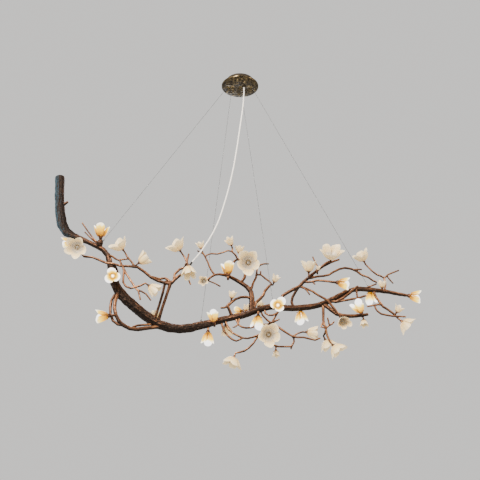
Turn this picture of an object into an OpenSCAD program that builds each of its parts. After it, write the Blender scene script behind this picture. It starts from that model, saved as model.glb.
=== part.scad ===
// Branch chandelier: a cast branch of welded tubes hangs on four cables from
// a round canopy and carries glass blossoms, some of them with a lamp inside.
// Millimetres. The origin is the middle of the ceiling plate's upper face,
// +Z is up, +X runs along the branch to its thin tip, +Y points to the back.

/* [Canopy] */
// Diameter of the cast disc
disc_d = 206; // [190:1:230]
// Thickness of the cast disc
disc_t = 10; // [8:0.5:14]
// Diameter of the pan where it meets the disc
pan_d = 160; // [156:1:170]
// How much narrower the pan is at the ceiling
pan_taper = 8; // [4:1:12]
// Height of the pan
pan_h = 30; // [28:1:45]
// Wall of the pan
pan_wall = 1.5; // [1:0.1:2.5]
// Thickness of the ceiling plate
plate_t = 3; // [2:0.5:5]
// Bolt circle of the ceiling plate
bolt_circle = 124; // [116:1:126]
// Diameter of the ceiling bolt holes
bolt_d = 6.5; // [4:0.5:8]
// Diameter of the load posts
post_d = 10; // [8:0.5:12]
// Thread of the disc screws
disc_screw_d = 5; // [4:0.5:6]

/* [Driver] */
// Length of the driver
driver_l = 80; // [60:1:84]
// Width of the driver
driver_w = 36; // [24:1:38]
// Height of the driver
driver_h = 18; // [12:1:20]
// Length of the terminal block
terminal_l = 30; // [20:1:32]
// Bore of the grommet for the supply cable
supply_d = 9; // [6:0.5:12]

/* [Suspension] */
// Ceiling to the middle of the trunk
hang_drop = 1300; // [1100:10:2200]
// Diameter of the steel cables
cable_d = 2; // [1.5:0.1:3]
// Diameter of the ball at the nose of a gripper
ball_d = 10; // [9:0.5:11]
// Diameter of a gripper's barrel
gripper_d = 8; // [7:0.5:8.5]
// Length of a gripper above the middle of its ball
gripper_l = 16; // [14:0.5:18]
// Diameter of a release plunger
plunger_d = 5; // [4:0.5:5.5]
// How far a plunger goes in
plunger_travel = 2; // [1:0.5:3]
// Outer diameter of a swivel seat
seat_d = 19; // [18.5:0.5:19.5]
// Length of the crimped sleeve on a cable
sleeve_l = 14; // [8:1:20]
// Wire of the eyes on the branch
eye_wire = 3; // [2:0.5:4]

/* [Cord] */
// Diameter of the power cord
cord_d = 7; // [5:0.5:8]
// Length of the tapered strain relief
boot_l = 28; // [20:1:40]

/* [Branch] */
// Length of the branch from the root to the tip
branch_l = 1820; // [1500:10:2200]
// Diameter of the trunk at its thickest
trunk_d = 52; // [46:1:58]
// Diameter of an ordinary twig
twig_d = 10; // [9:0.5:11]
// Depth of the furrows in the trunk, as a share of its radius
furrow = 0.07; // [0:0.01:0.12]
// Gap of a weld between a limb and the trunk
weld_gap = 0.2; // [0.1:0.05:0.3]

/* [Blossoms] */
// Width of a blossom with a lamp
lit_w = 74; // [66:1:80]
// Width of a large blossom
large_w = 104; // [94:1:112]
// Width of a medium blossom
medium_w = 78; // [70:1:84]
// Width of a bud
bud_w = 44; // [38:1:50]
// Wall of the glass
glass_t = 3; // [2.4:0.1:4]
// Petals on a blossom without a lamp
petals = 5; // [4:1:6]
// Depth of the notch between two petals, as a share of the petal
notch = 0.36; // [0.15:0.01:0.45]
// Petals on a blossom with a lamp
lit_petals = 3; // [3:1:5]
// Depth of its notches, as a share of the petal
lit_notch = 0.5; // [0.2:0.01:0.6]
// Height of a blossom with a lamp, as a share of its width
lit_rise = 0.78; // [0.7:0.01:0.9]
// Height of a large blossom, as a share of its width
large_rise = 0.5; // [0.4:0.01:0.7]
// Height of a calyx cup
calyx_h = 14; // [12:0.5:16]
// Wall of a calyx cup
calyx_wall = 2.5; // [2:0.1:3.5]

/* [Lamps] */
// Diameter of a lamp holder's shank
holder_d = 16; // [14:0.5:17]
// Thickness of a lamp holder's flange
holder_flange_t = 3; // [2:0.5:4]
// Diameter of an LED capsule
led_d = 10; // [9:0.5:12]
// Length of an LED capsule's body
led_l = 19; // [15:1:22]
// Diameter of an LED capsule's plug
plug_d = 6; // [5:0.5:7]
// Length of an LED capsule's plug
plug_l = 7.5; // [6:0.5:8]

/* [Hidden] */
$fn = 48;

// Clearances: metal beside metal, a shank in its hole, a ball in its seat
gap = 0.3;
fit_gap = 0.2;
ball_gap = 0.3;

// Heights in the canopy
disc_top = -pan_h;
disc_low = disc_top - disc_t;
// The row of ball centres is the axis that the lamp swings about
swing_z = disc_top - 3;
plate_r = pan_d / 2 - pan_taper / 2 - pan_wall - gap;
flange_in = pan_d / 2 - 2.8;
post_r = 60;
post_angles = [90, 210, 330];
screw_len = 14;
grommet_at = [-26, 36];
terminal_at = [24, 34];
driver_at = [0, -38];

// The branch is drawn in elevation as this viewer sees it: 1820 long, 1300
// below the ceiling, its trunk 52 and its twigs 10 thick. A point is
// [across, up, depth, radius]; depth moves it along the line of sight.
viewer = [0, -3154, -2167];
grow = branch_l / 1820;

function seen(p) =
    let (k = 1 - p[2] / viewer[1])
    [p[0] * k, p[2], viewer[2] + (p[1] - viewer[2]) * k];
function placed(q) =
    [q[0] * grow, q[1] * grow, (q[2] + 1300) * grow - hang_drop];
function at(p) = placed(seen(p));
function with_r(p, k) = let (q = at(p)) [q[0], q[1], q[2], p[3] * k];
function drawn(list, k) = [for (p = list) with_r(p, k)];
twig_k = twig_d / 10;
trunk_k = trunk_d / 52;

// ---- curves and tubes ----

function unit(v) = v / norm(v);
function xyz(p) = [p[0], p[1], p[2]];
function blend(a, b, c, d, t) =
    0.5 * (2 * b + (c - a) * t + (2 * a - 5 * b + 4 * c - d) * t * t
        + (3 * b - a - 3 * c + d) * t * t * t);
// A smooth curve through the points, with n steps between two of them
function curve(p, n = 2) =
    let (m = len(p) - 1)
    concat(
        [for (i = [0:m - 1])
            for (k = [0:n - 1])
                blend(p[max(i - 1, 0)], p[i], p[i + 1], p[min(i + 2, m)], k / n)],
        [p[m]]);
function tangents(p) =
    let (m = len(p) - 1)
    [for (i = [0:m]) unit(xyz(p[min(i + 1, m)]) - xyz(p[max(i - 1, 0)]))];
function square_to(u, t) = unit(u - (u * t) * t);
// Cross directions that turn with the curve and never twist about it
function across(t) =
    let (m = len(t),
         start = abs(t[0][1]) < 0.8 ? [0, 1, 0] : [1, 0, 0])
    [for (i = 0, u = square_to(start, t[0]); i < m;
          i = i + 1, u = i < m ? square_to(u, t[i]) : u) u];
function furrowed(r, a, i, depth) = r * (1 + depth * sin(3 * a + 35 * i));
// The rings of a tube: sides points round every point of the curve
function rings(p, sides, wider, depth) =
    let (t = tangents(p), u = across(t))
    [for (i = [0:len(p) - 1])
        let (v = cross(t[i], u[i]))
        [for (k = [0:sides - 1])
            let (a = 360 * k / sides, r = furrowed(p[i][3], a, i, depth) + wider)
            xyz(p[i]) + r * (cos(a) * u[i] + sin(a) * v)]];
function side_faces(count, sides) =
    [for (i = [0:count - 2])
        for (k = [0:sides - 1])
            let (a = i * sides + k, b = i * sides + (k + 1) % sides)
            each [[a, b + sides, b], [a, a + sides, b + sides]]];
module ring_solid(r) {
    sides = len(r[0]);
    last = (len(r) - 1) * sides;
    polyhedron(
        points = [for (ring = r) each ring],
        faces = concat(
            side_faces(len(r), sides),
            [[for (k = [0:sides - 1]) k]],
            [[for (k = [sides - 1:-1:0]) last + k]]));
}
module tube(p, sides, wider = 0, depth = 0) {
    ring_solid(rings(p, sides, wider, depth));
}
// Tubes that are welded up and dressed into one skin
module welded() {
    resize([0, 0, 0]) children();
}

limb_sides = 7;
twig_sides = 5;
module limb(list) {
    tube(drawn(list, twig_k), limb_sides);
}
module twig(list) {
    tube(drawn(list, twig_k), twig_sides);
}

// ---- trunk ----

root_line = [
    [-952, -598, 40, 25], [-945, -700, 38, 24], [-932, -800, 35, 25],
    [-915, -872, 30, 27], [-888, -916, 24, 24], [-850, -937, 16, 18]];
left_line = [
    [-815, -950, 6, 15], [-775, -967, -5, 12], [-728, -990, -15, 12],
    [-695, -1008, -20, 13], [-668, -1040, -25, 14], [-655, -1080, -30, 15],
    [-642, -1125, -30, 17], [-625, -1185, -28, 21], [-600, -1230, -24, 25],
    [-562, -1272, -18, 26], [-522, -1305, -10, 26], [-476, -1343, 0, 25],
    [-440, -1368, 6, 25], [-402, -1392, 10, 24], [-345, -1412, 14, 23],
    [-290, -1418, 16, 22]];
middle_line = [
    [-236, -1413, 16, 21], [-199, -1403, 14, 20], [-165, -1396, 12, 19],
    [-127, -1386, 8, 18], [-93, -1376, 4, 17], [-55, -1366, 0, 16],
    [-18, -1358, -4, 16], [13, -1352, -6, 15], [45, -1341, -6, 15],
    [76, -1328, -4, 15], [108, -1317, -2, 15], [146, -1308, 0, 15],
    [180, -1308, 4, 15], [215, -1314, 8, 15]];
right_line = [
    [255, -1316, 12, 15], [300, -1313, 15, 15], [344, -1308, 18, 15],
    [382, -1300, 20, 14], [414, -1290, 20, 14], [446, -1274, 18, 14],
    [479, -1258, 16, 13], [522, -1235, 14, 13], [562, -1221, 12, 12],
    [598, -1217, 12, 12], [646, -1221, 14, 12], [693, -1226, 18, 11],
    [741, -1233, 22, 10], [788, -1243, 26, 9]];
// Rings where one cast section of the trunk is welded to the next
root_end = len(root_line) - 1;
left_end = root_end + len(left_line);
middle_end = left_end + len(middle_line);
trunk_sides = 10;

// ---- blossoms ----

// [across, up, depth, azimuth, elevation, share of the class's width] of the
// foot of each calyx. Azimuth 0 faces the viewer, 90 the tip of the branch.
// A blossom with a lamp also says how far its petals are turned on the foot.
lit_places = [
    [-712, -952, -28, 0, 84, 1.1, 0], [-848, -962, -46, -80, -15, 0.78, 30],
    [-635, -1150, -62, 8, -14, 1.08, 70], [-632, -1352, -80, -80, -8, 0.97, 30],
    [-60, -1152, -26, 0, 85, 1.04, 0], [-126, -1391, -32, -15, 60, 0.86, 60],
    [-155, -1426, 6, 0, -86, 0.97, 0], [21, -1342, 21, -120, 25, 0.7, 0],
    [185, -1301, -24, 0, -12, 1.06, 15], [89, -1348, -18, -15, -75, 0.96, 0],
    [296, -1321, 44, 0, -86, 0.98, 0], [476, -1182, -60, 84, -8, 0.92, 90],
    [827, -1250, 28, 78, -14, 0.92, 90], [642, -1226, 42, 10, -80, 0.92, 0],
    [596, -1344, -36, -38, 46, 0.96, 60]];
large_places = [
    [-824, -996, -88, 0, -22, 1.02], [-590, -1014, -74, -45, 40, 1.02],
    [-300, -1020, -26, -50, 45, 1.02], [42, -1080, -4, 0, -16, 1.2],
    [138, -1447, -8, 2, -13, 1.1], [457, -1064, -52, 4, 42, 1.16],
    [627, -1076, 34, -48, 50, 0.92], [-26, -1549, -2, -80, -70, 0.94],
    [409, -1466, 38, 90, -66, 0.9], [444, -1494, -52, 80, -50, 0.95],
    [783, -1376, -16, 85, -42, 0.95]];
medium_places = [
    [-514, -1084, -68, 80, 35, 1.02], [-459, -1195, -88, 100, -35, 1],
    [-262, -1092, -72, 30, -72, 1.06], [-72, -1394, 37, 155, -62, 0.9],
    [316, -1434, 34, 80, -5, 1], [344, -1136, -54, 0, 78, 1.02],
    [496, -1374, -36, 5, -28, 0.95], [-3, -1036, 24, 0, 76, 0.7]];
bud_places = [
    [-193, -1010, -4, -30, 60, 1.02], [-178, -1176, -14, -5, -14, 1.12],
    [-43, -988, -8, -20, 35, 1.06], [-43, -1271, -16, 30, 65, 1],
    [168, -1185, 31, 30, 45, 1], [30, -1338, 56, 160, 62, 0.98],
    [94, -1317, 50, 160, 60, 0.96], [172, -1519, 10, -10, -80, 0.86],
    [390, -1124, -60, 10, 55, 0.55], [706, -1217, 0, -10, 66, 1],
    [764, -1340, -14, 40, 45, 1], [602, -1368, -14, 0, -75, 0.98],
    [-412, -1376, 40, 0, 82, 1.2]];

function facing(f) = [cos(f[4]) * sin(f[3]), -cos(f[4]) * cos(f[3]), sin(f[4])];
module on_foot(f) {
    translate(at(f))
        rotate([0, 90 - f[4], f[3] - 90])
            children();
}
// The stem's last stretch runs straight into the calyx, square to its foot
stem_lead = 14;
foot_r = 6.5 * twig_k;
bud_foot_r = 4.5 * twig_k;
function stem_line(list, f, r) =
    let (b = at(f), a = facing(f), back = b - stem_lead * a)
    concat(drawn(list, twig_k), [[back[0], back[1], back[2], r], [b[0], b[1], b[2], r]]);
module stem(list, f, r = bud_foot_r) {
    tube(stem_line(list, f, r), twig_sides);
}

// Seats of the glass on the calyx
holder_r = holder_d / 2;
shank_hole = holder_r + fit_gap;
calyx_r = shank_hole + calyx_wall;
pocket_z = 4;
bud_calyx_h = calyx_h * 0.6;
bud_calyx_r = calyx_r * 0.62;
flange_r = holder_r + 2;
holder_low = pocket_z;
holder_top = calyx_h + glass_t + holder_flange_t;

// A flower is [petals, depth of their notches, turn of its waves]. This is a
// petal's reach at an angle: 1 at its tip, less beside it
function reach(a, flower) =
    let (c = abs(cos(a * flower[0] / 2)))
    1 - flower[1] * (1 - sqrt(c)) * 1.1 + 0.06 * sin(a * 2 + 97 * flower[2]);
function cup_r(t, seat, half) = seat + (half - seat) * pow(t, 0.62);
function cup_z(t, rise) = rise * pow(t, 1.25);
// One ring of a cup at share t of the petals' reach, drawn in by a wall
function cup_ring(t, seat, half, rise, flower, n, wall) =
    [for (k = [0:n - 1])
        let (a = 360 * k / n,
             s = t * reach(a, flower),
             r = max(cup_r(s, seat, half) - wall, seat * 0.6),
             z = cup_z(s, rise) + wall * (1.3 - s))
        [r * cos(a), r * sin(a), z]];
function flat_ring(r, z, n) =
    [for (k = [0:n - 1]) [r * cos(360 * k / n), r * sin(360 * k / n), z]];
// A cup of petals; with a hole it takes a lamp holder, without one it is solid
module cup(width, rise_share, seat, hole, flower, n, steps) {
    half = width / 2;
    rise = width * rise_share;
    outer = concat(
        hole > 0 ? [flat_ring(hole, 0, n)] : [],
        [flat_ring(seat, 0, n)],
        [for (j = [1:steps]) cup_ring(j / steps, seat, half, rise, flower, n, 0)]);
    inner = concat(
        [for (j = [steps:-1:1]) cup_ring(j / steps, seat, half, rise, flower, n, glass_t)],
        [flat_ring(seat - glass_t * 0.3, glass_t, n)],
        hole > 0 ? [flat_ring(hole, glass_t, n)] : []);
    all_rings = concat(outer, inner);
    if (hole > 0) {
        count = len(all_rings);
        polyhedron(
            points = [for (r = all_rings) each r],
            faces = [for (f = side_faces(count + 1, n)) [for (v = f) v % (count * n)]]);
    } else {
        ring_solid(all_rings);
    }
}
lit_points = lit_petals * 6;
open_points = petals * 4;
bud_points = petals * 2;

// ---- cables and cord ----

// Where each cable leaves the canopy, and the wood under its eye with the
// angle at which the eye leans out of it
cable_far = pan_d / 2 - 14;
cable_x = [-cable_far, 22 - cable_far, 2, cable_far - 4];
cable_foot = [
    [-707, -973, -26, 13.5, 34], [-190, -1401, 14, 19.7, 0],
    [163, -1308, 2, 15, 0], [638, -1220, 14, 12, 0]];
ball_r = ball_d / 2;
function ball_at(i) = [cable_x[i], 0, swing_z];
eye_r = 5;
// The middle of an eye stands this far out of the wood, so its hole is open
eye_stand = eye_r - eye_wire + 0.6;
function eye_at(i) =
    let (f = cable_foot[i],
         wood = f[3] * (i == 0 ? twig_k : trunk_k) * (1 + furrow))
    at(f) + (wood + eye_stand) * [sin(f[4]), 0, cos(f[4])];
function cable_dir(i) = unit(eye_at(i) - ball_at(i));
// Turns +Z to the direction v
module along(v) {
    rotate([0, acos(v[2] / norm(v)), atan2(v[1], v[0])])
        children();
}
sleeve_r = cable_d / 2 + 1.6;
cable_stop = 2;
module on_cable(i) {
    translate(ball_at(i))
        along(-cable_dir(i))
            children();
}

cord_x = 22;
cord_r = cord_d / 2;
gland_ball_r = cord_r + 3;
// The cord's route from its strain relief down to the branch
cord_line = [
    [20, -105, -3], [18, -140, -7], [14, -185, -11],
    [7, -240, -14], [0, -295, -17], [-7, -350, -20], [-14, -405, -22],
    [-22, -460, -24], [-30, -515, -26], [-40, -570, -28], [-51, -625, -30],
    [-63, -680, -32], [-77, -735, -34], [-92, -790, -36], [-109, -845, -38],
    [-129, -895, -40], [-151, -940, -42], [-174, -980, -42], [-197, -1017, -40],
    [-216, -1043, -36]];
cord_up = [0.56, 0, 0.83];
cord_stub = [-253, -1093, -28];

// ---- canopy pieces ----

iron = "#3a2f26";
steel = "#a8abad";
brass = "#b08a4a";
bark = "#6a4630";
glass = "#efe4cf";

module ceiling_plate() {
    color(steel)
        difference() {
            translate([0, 0, -plate_t])
                cylinder(h = plate_t, r = plate_r);
            for (a = [45:90:315])
                rotate(a)
                    translate([bolt_circle / 2, 0, -plate_t - 1])
                        cylinder(h = plate_t + 2, d = bolt_d);
            translate([grommet_at[0], grommet_at[1], -plate_t - 1])
                cylinder(h = plate_t + 2, r = supply_d / 2 + 2 + gap);
            for (s = [-1, 1])
                translate([driver_at[0] + s * driver_screw_x, driver_at[1], -plate_t - 1])
                    cylinder(h = plate_t + 2, r = driver_screw_r + 0.1);
        }
}
module load_posts() {
    color(steel)
        for (a = post_angles)
            rotate(a)
                translate([post_r, 0, disc_top])
                    difference() {
                        cylinder(h = pan_h - plate_t, d = post_d);
                        translate([0, 0, -1])
                            cylinder(h = screw_len + 1, d = disc_screw_d + 0.1);
                    }
}
module canopy_pan() {
    low_r = pan_d / 2;
    top_r = (pan_d - pan_taper) / 2;
    color(iron)
        translate([0, 0, disc_top])
            rotate_extrude($fn = 96)
                polygon([
                    [flange_in, 0], [low_r, 0], [low_r - 0.6, 6], [top_r + 1.2, pan_h * 0.7],
                    [top_r, pan_h], [top_r - pan_wall, pan_h],
                    [top_r + 1.2 - pan_wall, pan_h * 0.7],
                    [low_r - 0.6 - pan_wall, 6], [low_r - pan_wall, pan_wall],
                    [flange_in, pan_wall]]);
}
module countersink() {
    translate([0, 0, disc_low - 1])
        cylinder(h = disc_t + 2, d = disc_screw_d + 0.6);
    translate([0, 0, disc_low])
        cylinder(h = 2.6, r1 = disc_screw_d + 0.1, r2 = disc_screw_d / 2 + 0.2);
}
module canopy_disc() {
    edge = disc_t * 0.3;
    color(iron)
        difference() {
            translate([0, 0, disc_low])
                rotate_extrude($fn = 96)
                    polygon([
                        [0, 0], [disc_d / 2 - edge, 0], [disc_d / 2 - edge * 0.3, edge * 0.3],
                        [disc_d / 2, edge], [disc_d / 2, disc_t - edge * 0.5],
                        [disc_d / 2 - edge * 0.5, disc_t], [0, disc_t]]);
            for (i = [0:3])
                translate([cable_x[i], 0, disc_low - 1])
                    cylinder(h = disc_t + 2, d = seat_d + fit_gap);
            translate([cord_x, 0, disc_low - 1])
                cylinder(h = disc_t + 2, r = gland_r + fit_gap / 2);
            for (a = post_angles)
                rotate(a)
                    translate([post_r, 0, 0])
                        countersink();
        }
}
module disc_screws() {
    color(iron)
        for (a = post_angles)
            rotate(a)
                translate([post_r, 0, 0]) {
                    translate([0, 0, disc_low + 2.4])
                        cylinder(h = disc_t - 2.4 + screw_len - 2, d = disc_screw_d);
                    translate([0, 0, disc_low + 0.1])
                        cylinder(h = 2.3, r1 = disc_screw_d - 0.2, r2 = disc_screw_d / 2);
                }
}
driver_foot = 6;
driver_screw_x = driver_l / 2 - driver_foot / 2;
driver_screw_r = 1.75;
module led_driver() {
    color("#d8d8d4")
        translate([driver_at[0], driver_at[1], -plate_t])
            difference() {
                union() {
                    translate([-driver_l / 2, -driver_w / 2, -3])
                        cube([driver_l, driver_w, 3]);
                    translate([-driver_l / 2 + driver_foot, -driver_w / 2, -driver_h])
                        cube([driver_l - 2 * driver_foot, driver_w, driver_h]);
                }
                for (s = [-1, 1])
                    translate([s * driver_screw_x, 0, -4])
                        cylinder(h = 5, r = driver_screw_r + 0.1);
            }
}
module driver_screws() {
    color(steel)
        for (s = [-1, 1])
            translate([driver_at[0] + s * driver_screw_x, driver_at[1], -plate_t]) {
                translate([0, 0, -3])
                    cylinder(h = 3 + plate_t, r = driver_screw_r);
                translate([0, 0, -5])
                    cylinder(h = 2, r = 2.8);
            }
}
module terminal_block() {
    poles = 3;
    pitch = terminal_l / poles;
    color("#e8e4da")
        translate([terminal_at[0] - terminal_l / 2, terminal_at[1] - 8, -plate_t - 13])
            difference() {
                cube([terminal_l, 16, 13]);
                for (i = [0:poles - 1])
                    translate([(i + 0.5) * pitch, -1, 5])
                        rotate([-90, 0, 0])
                            cylinder(h = 18, r = 1.8);
            }
}
module supply_grommet() {
    r = supply_d / 2;
    color("#1d1d1d")
        translate([grommet_at[0], grommet_at[1], 0])
            rotate_extrude()
                polygon([
                    [r, -plate_t - 2], [r + 4, -plate_t - 2], [r + 4, -plate_t],
                    [r + 2, -plate_t], [r + 2, 0], [r, 0]]);
}

// Every seat opens upwards and downwards, so that its ball can point any way
seat_lip = 2;
module swivel_seats() {
    hollow_r = ball_r + ball_gap;
    low = swing_z - disc_low;
    color(brass)
        for (i = [0:3])
            translate([cable_x[i], 0, swing_z])
                difference() {
                    union() {
                        translate([0, 0, 0.1 - low])
                            cylinder(h = disc_t - 0.1, d = seat_d);
                        translate([0, 0, disc_t - low])
                            cylinder(h = seat_lip, d = seat_d + 2);
                    }
                    sphere(r = hollow_r);
                    cylinder(
                        h = disc_t - low + seat_lip + 0.01,
                        r1 = hollow_r, r2 = seat_d / 2 - 0.2);
                    translate([0, 0, -low])
                        cylinder(
                            h = low - 0.58 * hollow_r,
                            r1 = seat_d / 2 - 2.4, r2 = 0.79 * hollow_r);
                }
}
gland_r = gland_ball_r + 2;
module cord_gland() {
    color(iron)
        difference() {
            translate([cord_x, 0, disc_low - 3]) {
                cylinder(h = disc_t + 3, r = gland_r);
                cylinder(h = 3 - 0.1, r = gland_r + 2);
            }
            translate([cord_x, 0, swing_z]) {
                sphere(r = gland_ball_r + ball_gap, $fn = 64);
                cylinder(h = 10, r = gland_ball_r + ball_gap);
                translate([0, 0, -disc_t - 6])
                    cylinder(h = disc_t + 6, r = cord_r + 2.4 + 1.2);
            }
        }
}

// ---- suspension ----

plunger_hole = plunger_d / 2 + 0.1;
plunger_deep = plunger_travel + 4;
module cable_grippers() {
    color(brass)
        for (i = [0:3])
            on_cable(i)
                difference() {
                    union() {
                        sphere(d = ball_d, $fn = 64);
                        cylinder(h = gripper_l, d = gripper_d);
                    }
                    translate([0, 0, gripper_l - plunger_deep])
                        cylinder(h = plunger_deep + 1, r = plunger_hole);
                    translate([0, 0, -ball_r - 1])
                        cylinder(h = ball_r + 1 + cable_stop, d = cable_d + 0.1);
                }
}
module plunger(i) {
    color(steel)
        on_cable(i)
            translate([0, 0, gripper_l - plunger_deep + plunger_travel + gap]) {
                cylinder(h = plunger_deep, d = plunger_d);
                translate([0, 0, plunger_deep])
                    cylinder(h = 1, d = plunger_d);
            }
}
module cable(i) {
    run = norm(eye_at(i) - ball_at(i));
    color(steel)
        on_cable(i)
            mirror([0, 0, 1])
                translate([0, 0, -cable_stop])
                    cylinder(h = run - eye_r - sleeve_l + cable_stop, d = cable_d);
}
module cable_sleeves() {
    color(steel)
        for (i = [0:3]) {
            run = norm(eye_at(i) - ball_at(i));
            on_cable(i)
                mirror([0, 0, 1])
                    translate([0, 0, run - eye_r - sleeve_l])
                        cylinder(h = sleeve_l - gap, r = sleeve_r);
        }
}
// An eye is a ring of wire that stands in the cable's plane on the branch
module branch_eyes() {
    color(bark)
        for (i = [0:3])
            welded_eye(i);
}
module welded_eye(i) {
    difference() {
        translate(eye_at(i)) {
            along(-cable_dir(i))
                rotate([90, 0, 0])
                    rotate_extrude($fn = 32)
                        translate([eye_r - eye_wire / 2, 0])
                            circle(d = eye_wire, $fn = 16);
        }
        trunk_part(0, trunk_last, weld_gap);
        knot(weld_gap);
    }
}

// ---- power cord ----

module cord_boot() {
    color("#e9e9e4")
        translate([cord_x, 0, swing_z]) {
            sphere(r = gland_ball_r, $fn = 64);
            translate([0, 0, -boot_l])
                cylinder(h = boot_l, r1 = cord_r + 0.6, r2 = cord_r + 2.4);
        }
}
// The cord leaves its strain relief, and reaches the branch, in a straight line
cord_lead = 12;
cord_end = placed(seen(cord_stub)) + 22 * cord_up;
cord_turn = cord_end + cord_lead * cord_up;
cord_top = [cord_x, 0, swing_z - boot_l];
cord_path = concat(
    [with_radius(cord_top)],
    curve(
        concat(
            [with_radius(cord_top - [0, 0, cord_lead])],
            [for (q = cord_line) with_radius(at(q))],
            [with_radius(cord_turn)]),
        2),
    [with_radius(cord_end)]);
function with_radius(q) = [q[0], q[1], q[2], cord_r];
module power_cord() {
    color("#f2f2ee")
        tube(cord_path, 8);
}
module branch_grommet() {
    color(iron)
        translate(placed(seen(cord_stub)))
            along(cord_up) {
                cylinder(h = 4, r = cord_r + 3.2);
                translate([0, 0, 4])
                    cylinder(h = 18, r1 = cord_r + 2.4, r2 = cord_r + 0.6);
            }
}

// ---- branch ----

trunk_line = drawn(concat(root_line, left_line, middle_line, right_line), trunk_k);
// The tip turns straight into the calyx of the blossom that it carries
tip_place = lit_places[12];
trunk_path = concat(
    trunk_line,
    [concat(at(tip_place) - stem_lead * facing(tip_place), [8 * trunk_k]),
        concat(at(tip_place), [foot_r])]);
module trunk_part(from, to, wider = 0) {
    all_rings = rings(trunk_path, trunk_sides, wider, furrow);
    ring_solid([for (i = [from:to]) all_rings[i]]);
}
trunk_last = len(trunk_path) - 1;
// A limb with the wood of the trunk, from one ring to another, cut away
module off_trunk(from, to) {
    color(bark)
        welded()
            difference() {
                union()
                    children();
                trunk_part(from, to, weld_gap);
            }
}

module root_stub() {
    color(bark)
        welded() {
            trunk_part(0, root_end);
            twig([[-934, -768, 34, 9], [-916, -757, 26, 8], [-897, -742, 20, 6]]);
        }
}
module trunk_left() {
    color(bark)
        trunk_part(root_end, left_end);
}
module trunk_middle() {
    color(bark)
        trunk_part(left_end, middle_end);
}
module trunk_right() {
    color(bark)
        trunk_part(middle_end, trunk_last);
}

// The gnarled knot under the first blossom, where the first cable ends
module knot(wider = 0) {
    tube(
        drawn([[-717, -995, -18, 8], [-715, -984, -22, 15], [-712, -970, -26, 16],
            [-712, -959, -28, 12], [-712, -953, -28, 7]], twig_k),
        limb_sides, wider, furrow);
}
// Stems and twigs that leave the trunk by themselves
module trunk_twigs() {
    off_trunk(0, trunk_last) {
        knot();
        twig([[-716, -982, -22, 5], [-751, -945, -25, 4], [-781, -907, -30, 4], [-814, -861, -36, 4]]);
        twig([[-716, -982, -22, 5], [-756, -952, -40, 4], [-797, -911, -52, 3.5]]);
        stem([[-712, -980, -26, 8]], lit_places[0], foot_r);
        stem([[-815, -950, 6, 9], [-826, -954, -20, 8]], lit_places[1], foot_r);
        stem([[-640, -1135, -28, 8]], lit_places[2], foot_r);
        stem([[-128, -1388, 6, 8], [-124, -1394, -14, 7]], lit_places[5], foot_r);
        stem([[-160, -1396, 10, 8]], lit_places[6], foot_r);
        stem([[22, -1350, -4, 8], [30, -1347, 6, 7]], lit_places[7], foot_r);
        stem([[184, -1306, 4, 8]], lit_places[8], foot_r);
        stem([[86, -1328, -4, 8]], lit_places[9], foot_r);
        stem([[294, -1310, 16, 8], [295, -1303, 32, 7]], lit_places[10], foot_r);
        stem([[642, -1220, 16, 7], [642, -1211, 34, 7]], lit_places[13], foot_r);
        stem([[-82, -1374, 4, 7], [-78, -1378, 26, 6]], medium_places[3]);
        stem([[34, -1345, -4, 6], [30, -1350, 30, 5]], bud_places[5]);
        stem([[90, -1326, 0, 6], [92, -1330, 26, 5]], bud_places[6]);
        stem([[706, -1226, 16, 6]], bud_places[9]);
        stem([[-414, -1382, 12, 6], [-413, -1390, 34, 5]], bud_places[12]);
    }
}

// The double limb that leaves the trunk's left end, swings down and comes back
module loop_limb() {
    off_trunk(root_end, left_end) {
        limb([
            [-605, -1200, -25, 10], [-606, -1240, -40, 9], [-615, -1282, -55, 9],
            [-616, -1315, -62, 9], [-607, -1350, -65, 9], [-590, -1379, -62, 9.5],
            [-566, -1401, -55, 10], [-534, -1417, -45, 10], [-497, -1421, -35, 10],
            [-456, -1415, -22, 10], [-415, -1411, -8, 9], [-378, -1410, 6, 8]]);
        limb([
            [-606, -1236, -39, 8], [-621, -1250, -38, 7], [-633, -1274, -40, 7],
            [-637, -1308, -48, 7], [-634, -1343, -55, 7], [-620, -1377, -60, 7],
            [-596, -1396, -60, 7], [-566, -1402, -55, 6]]);
        twig([
            [-534, -1415, -44, 6], [-500, -1401, -26, 6],
            [-462, -1398, -14, 6], [-425, -1396, 0, 6]]);
        stem([[-607, -1350, -65, 7]], lit_places[3], foot_r);
    }
}

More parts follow.
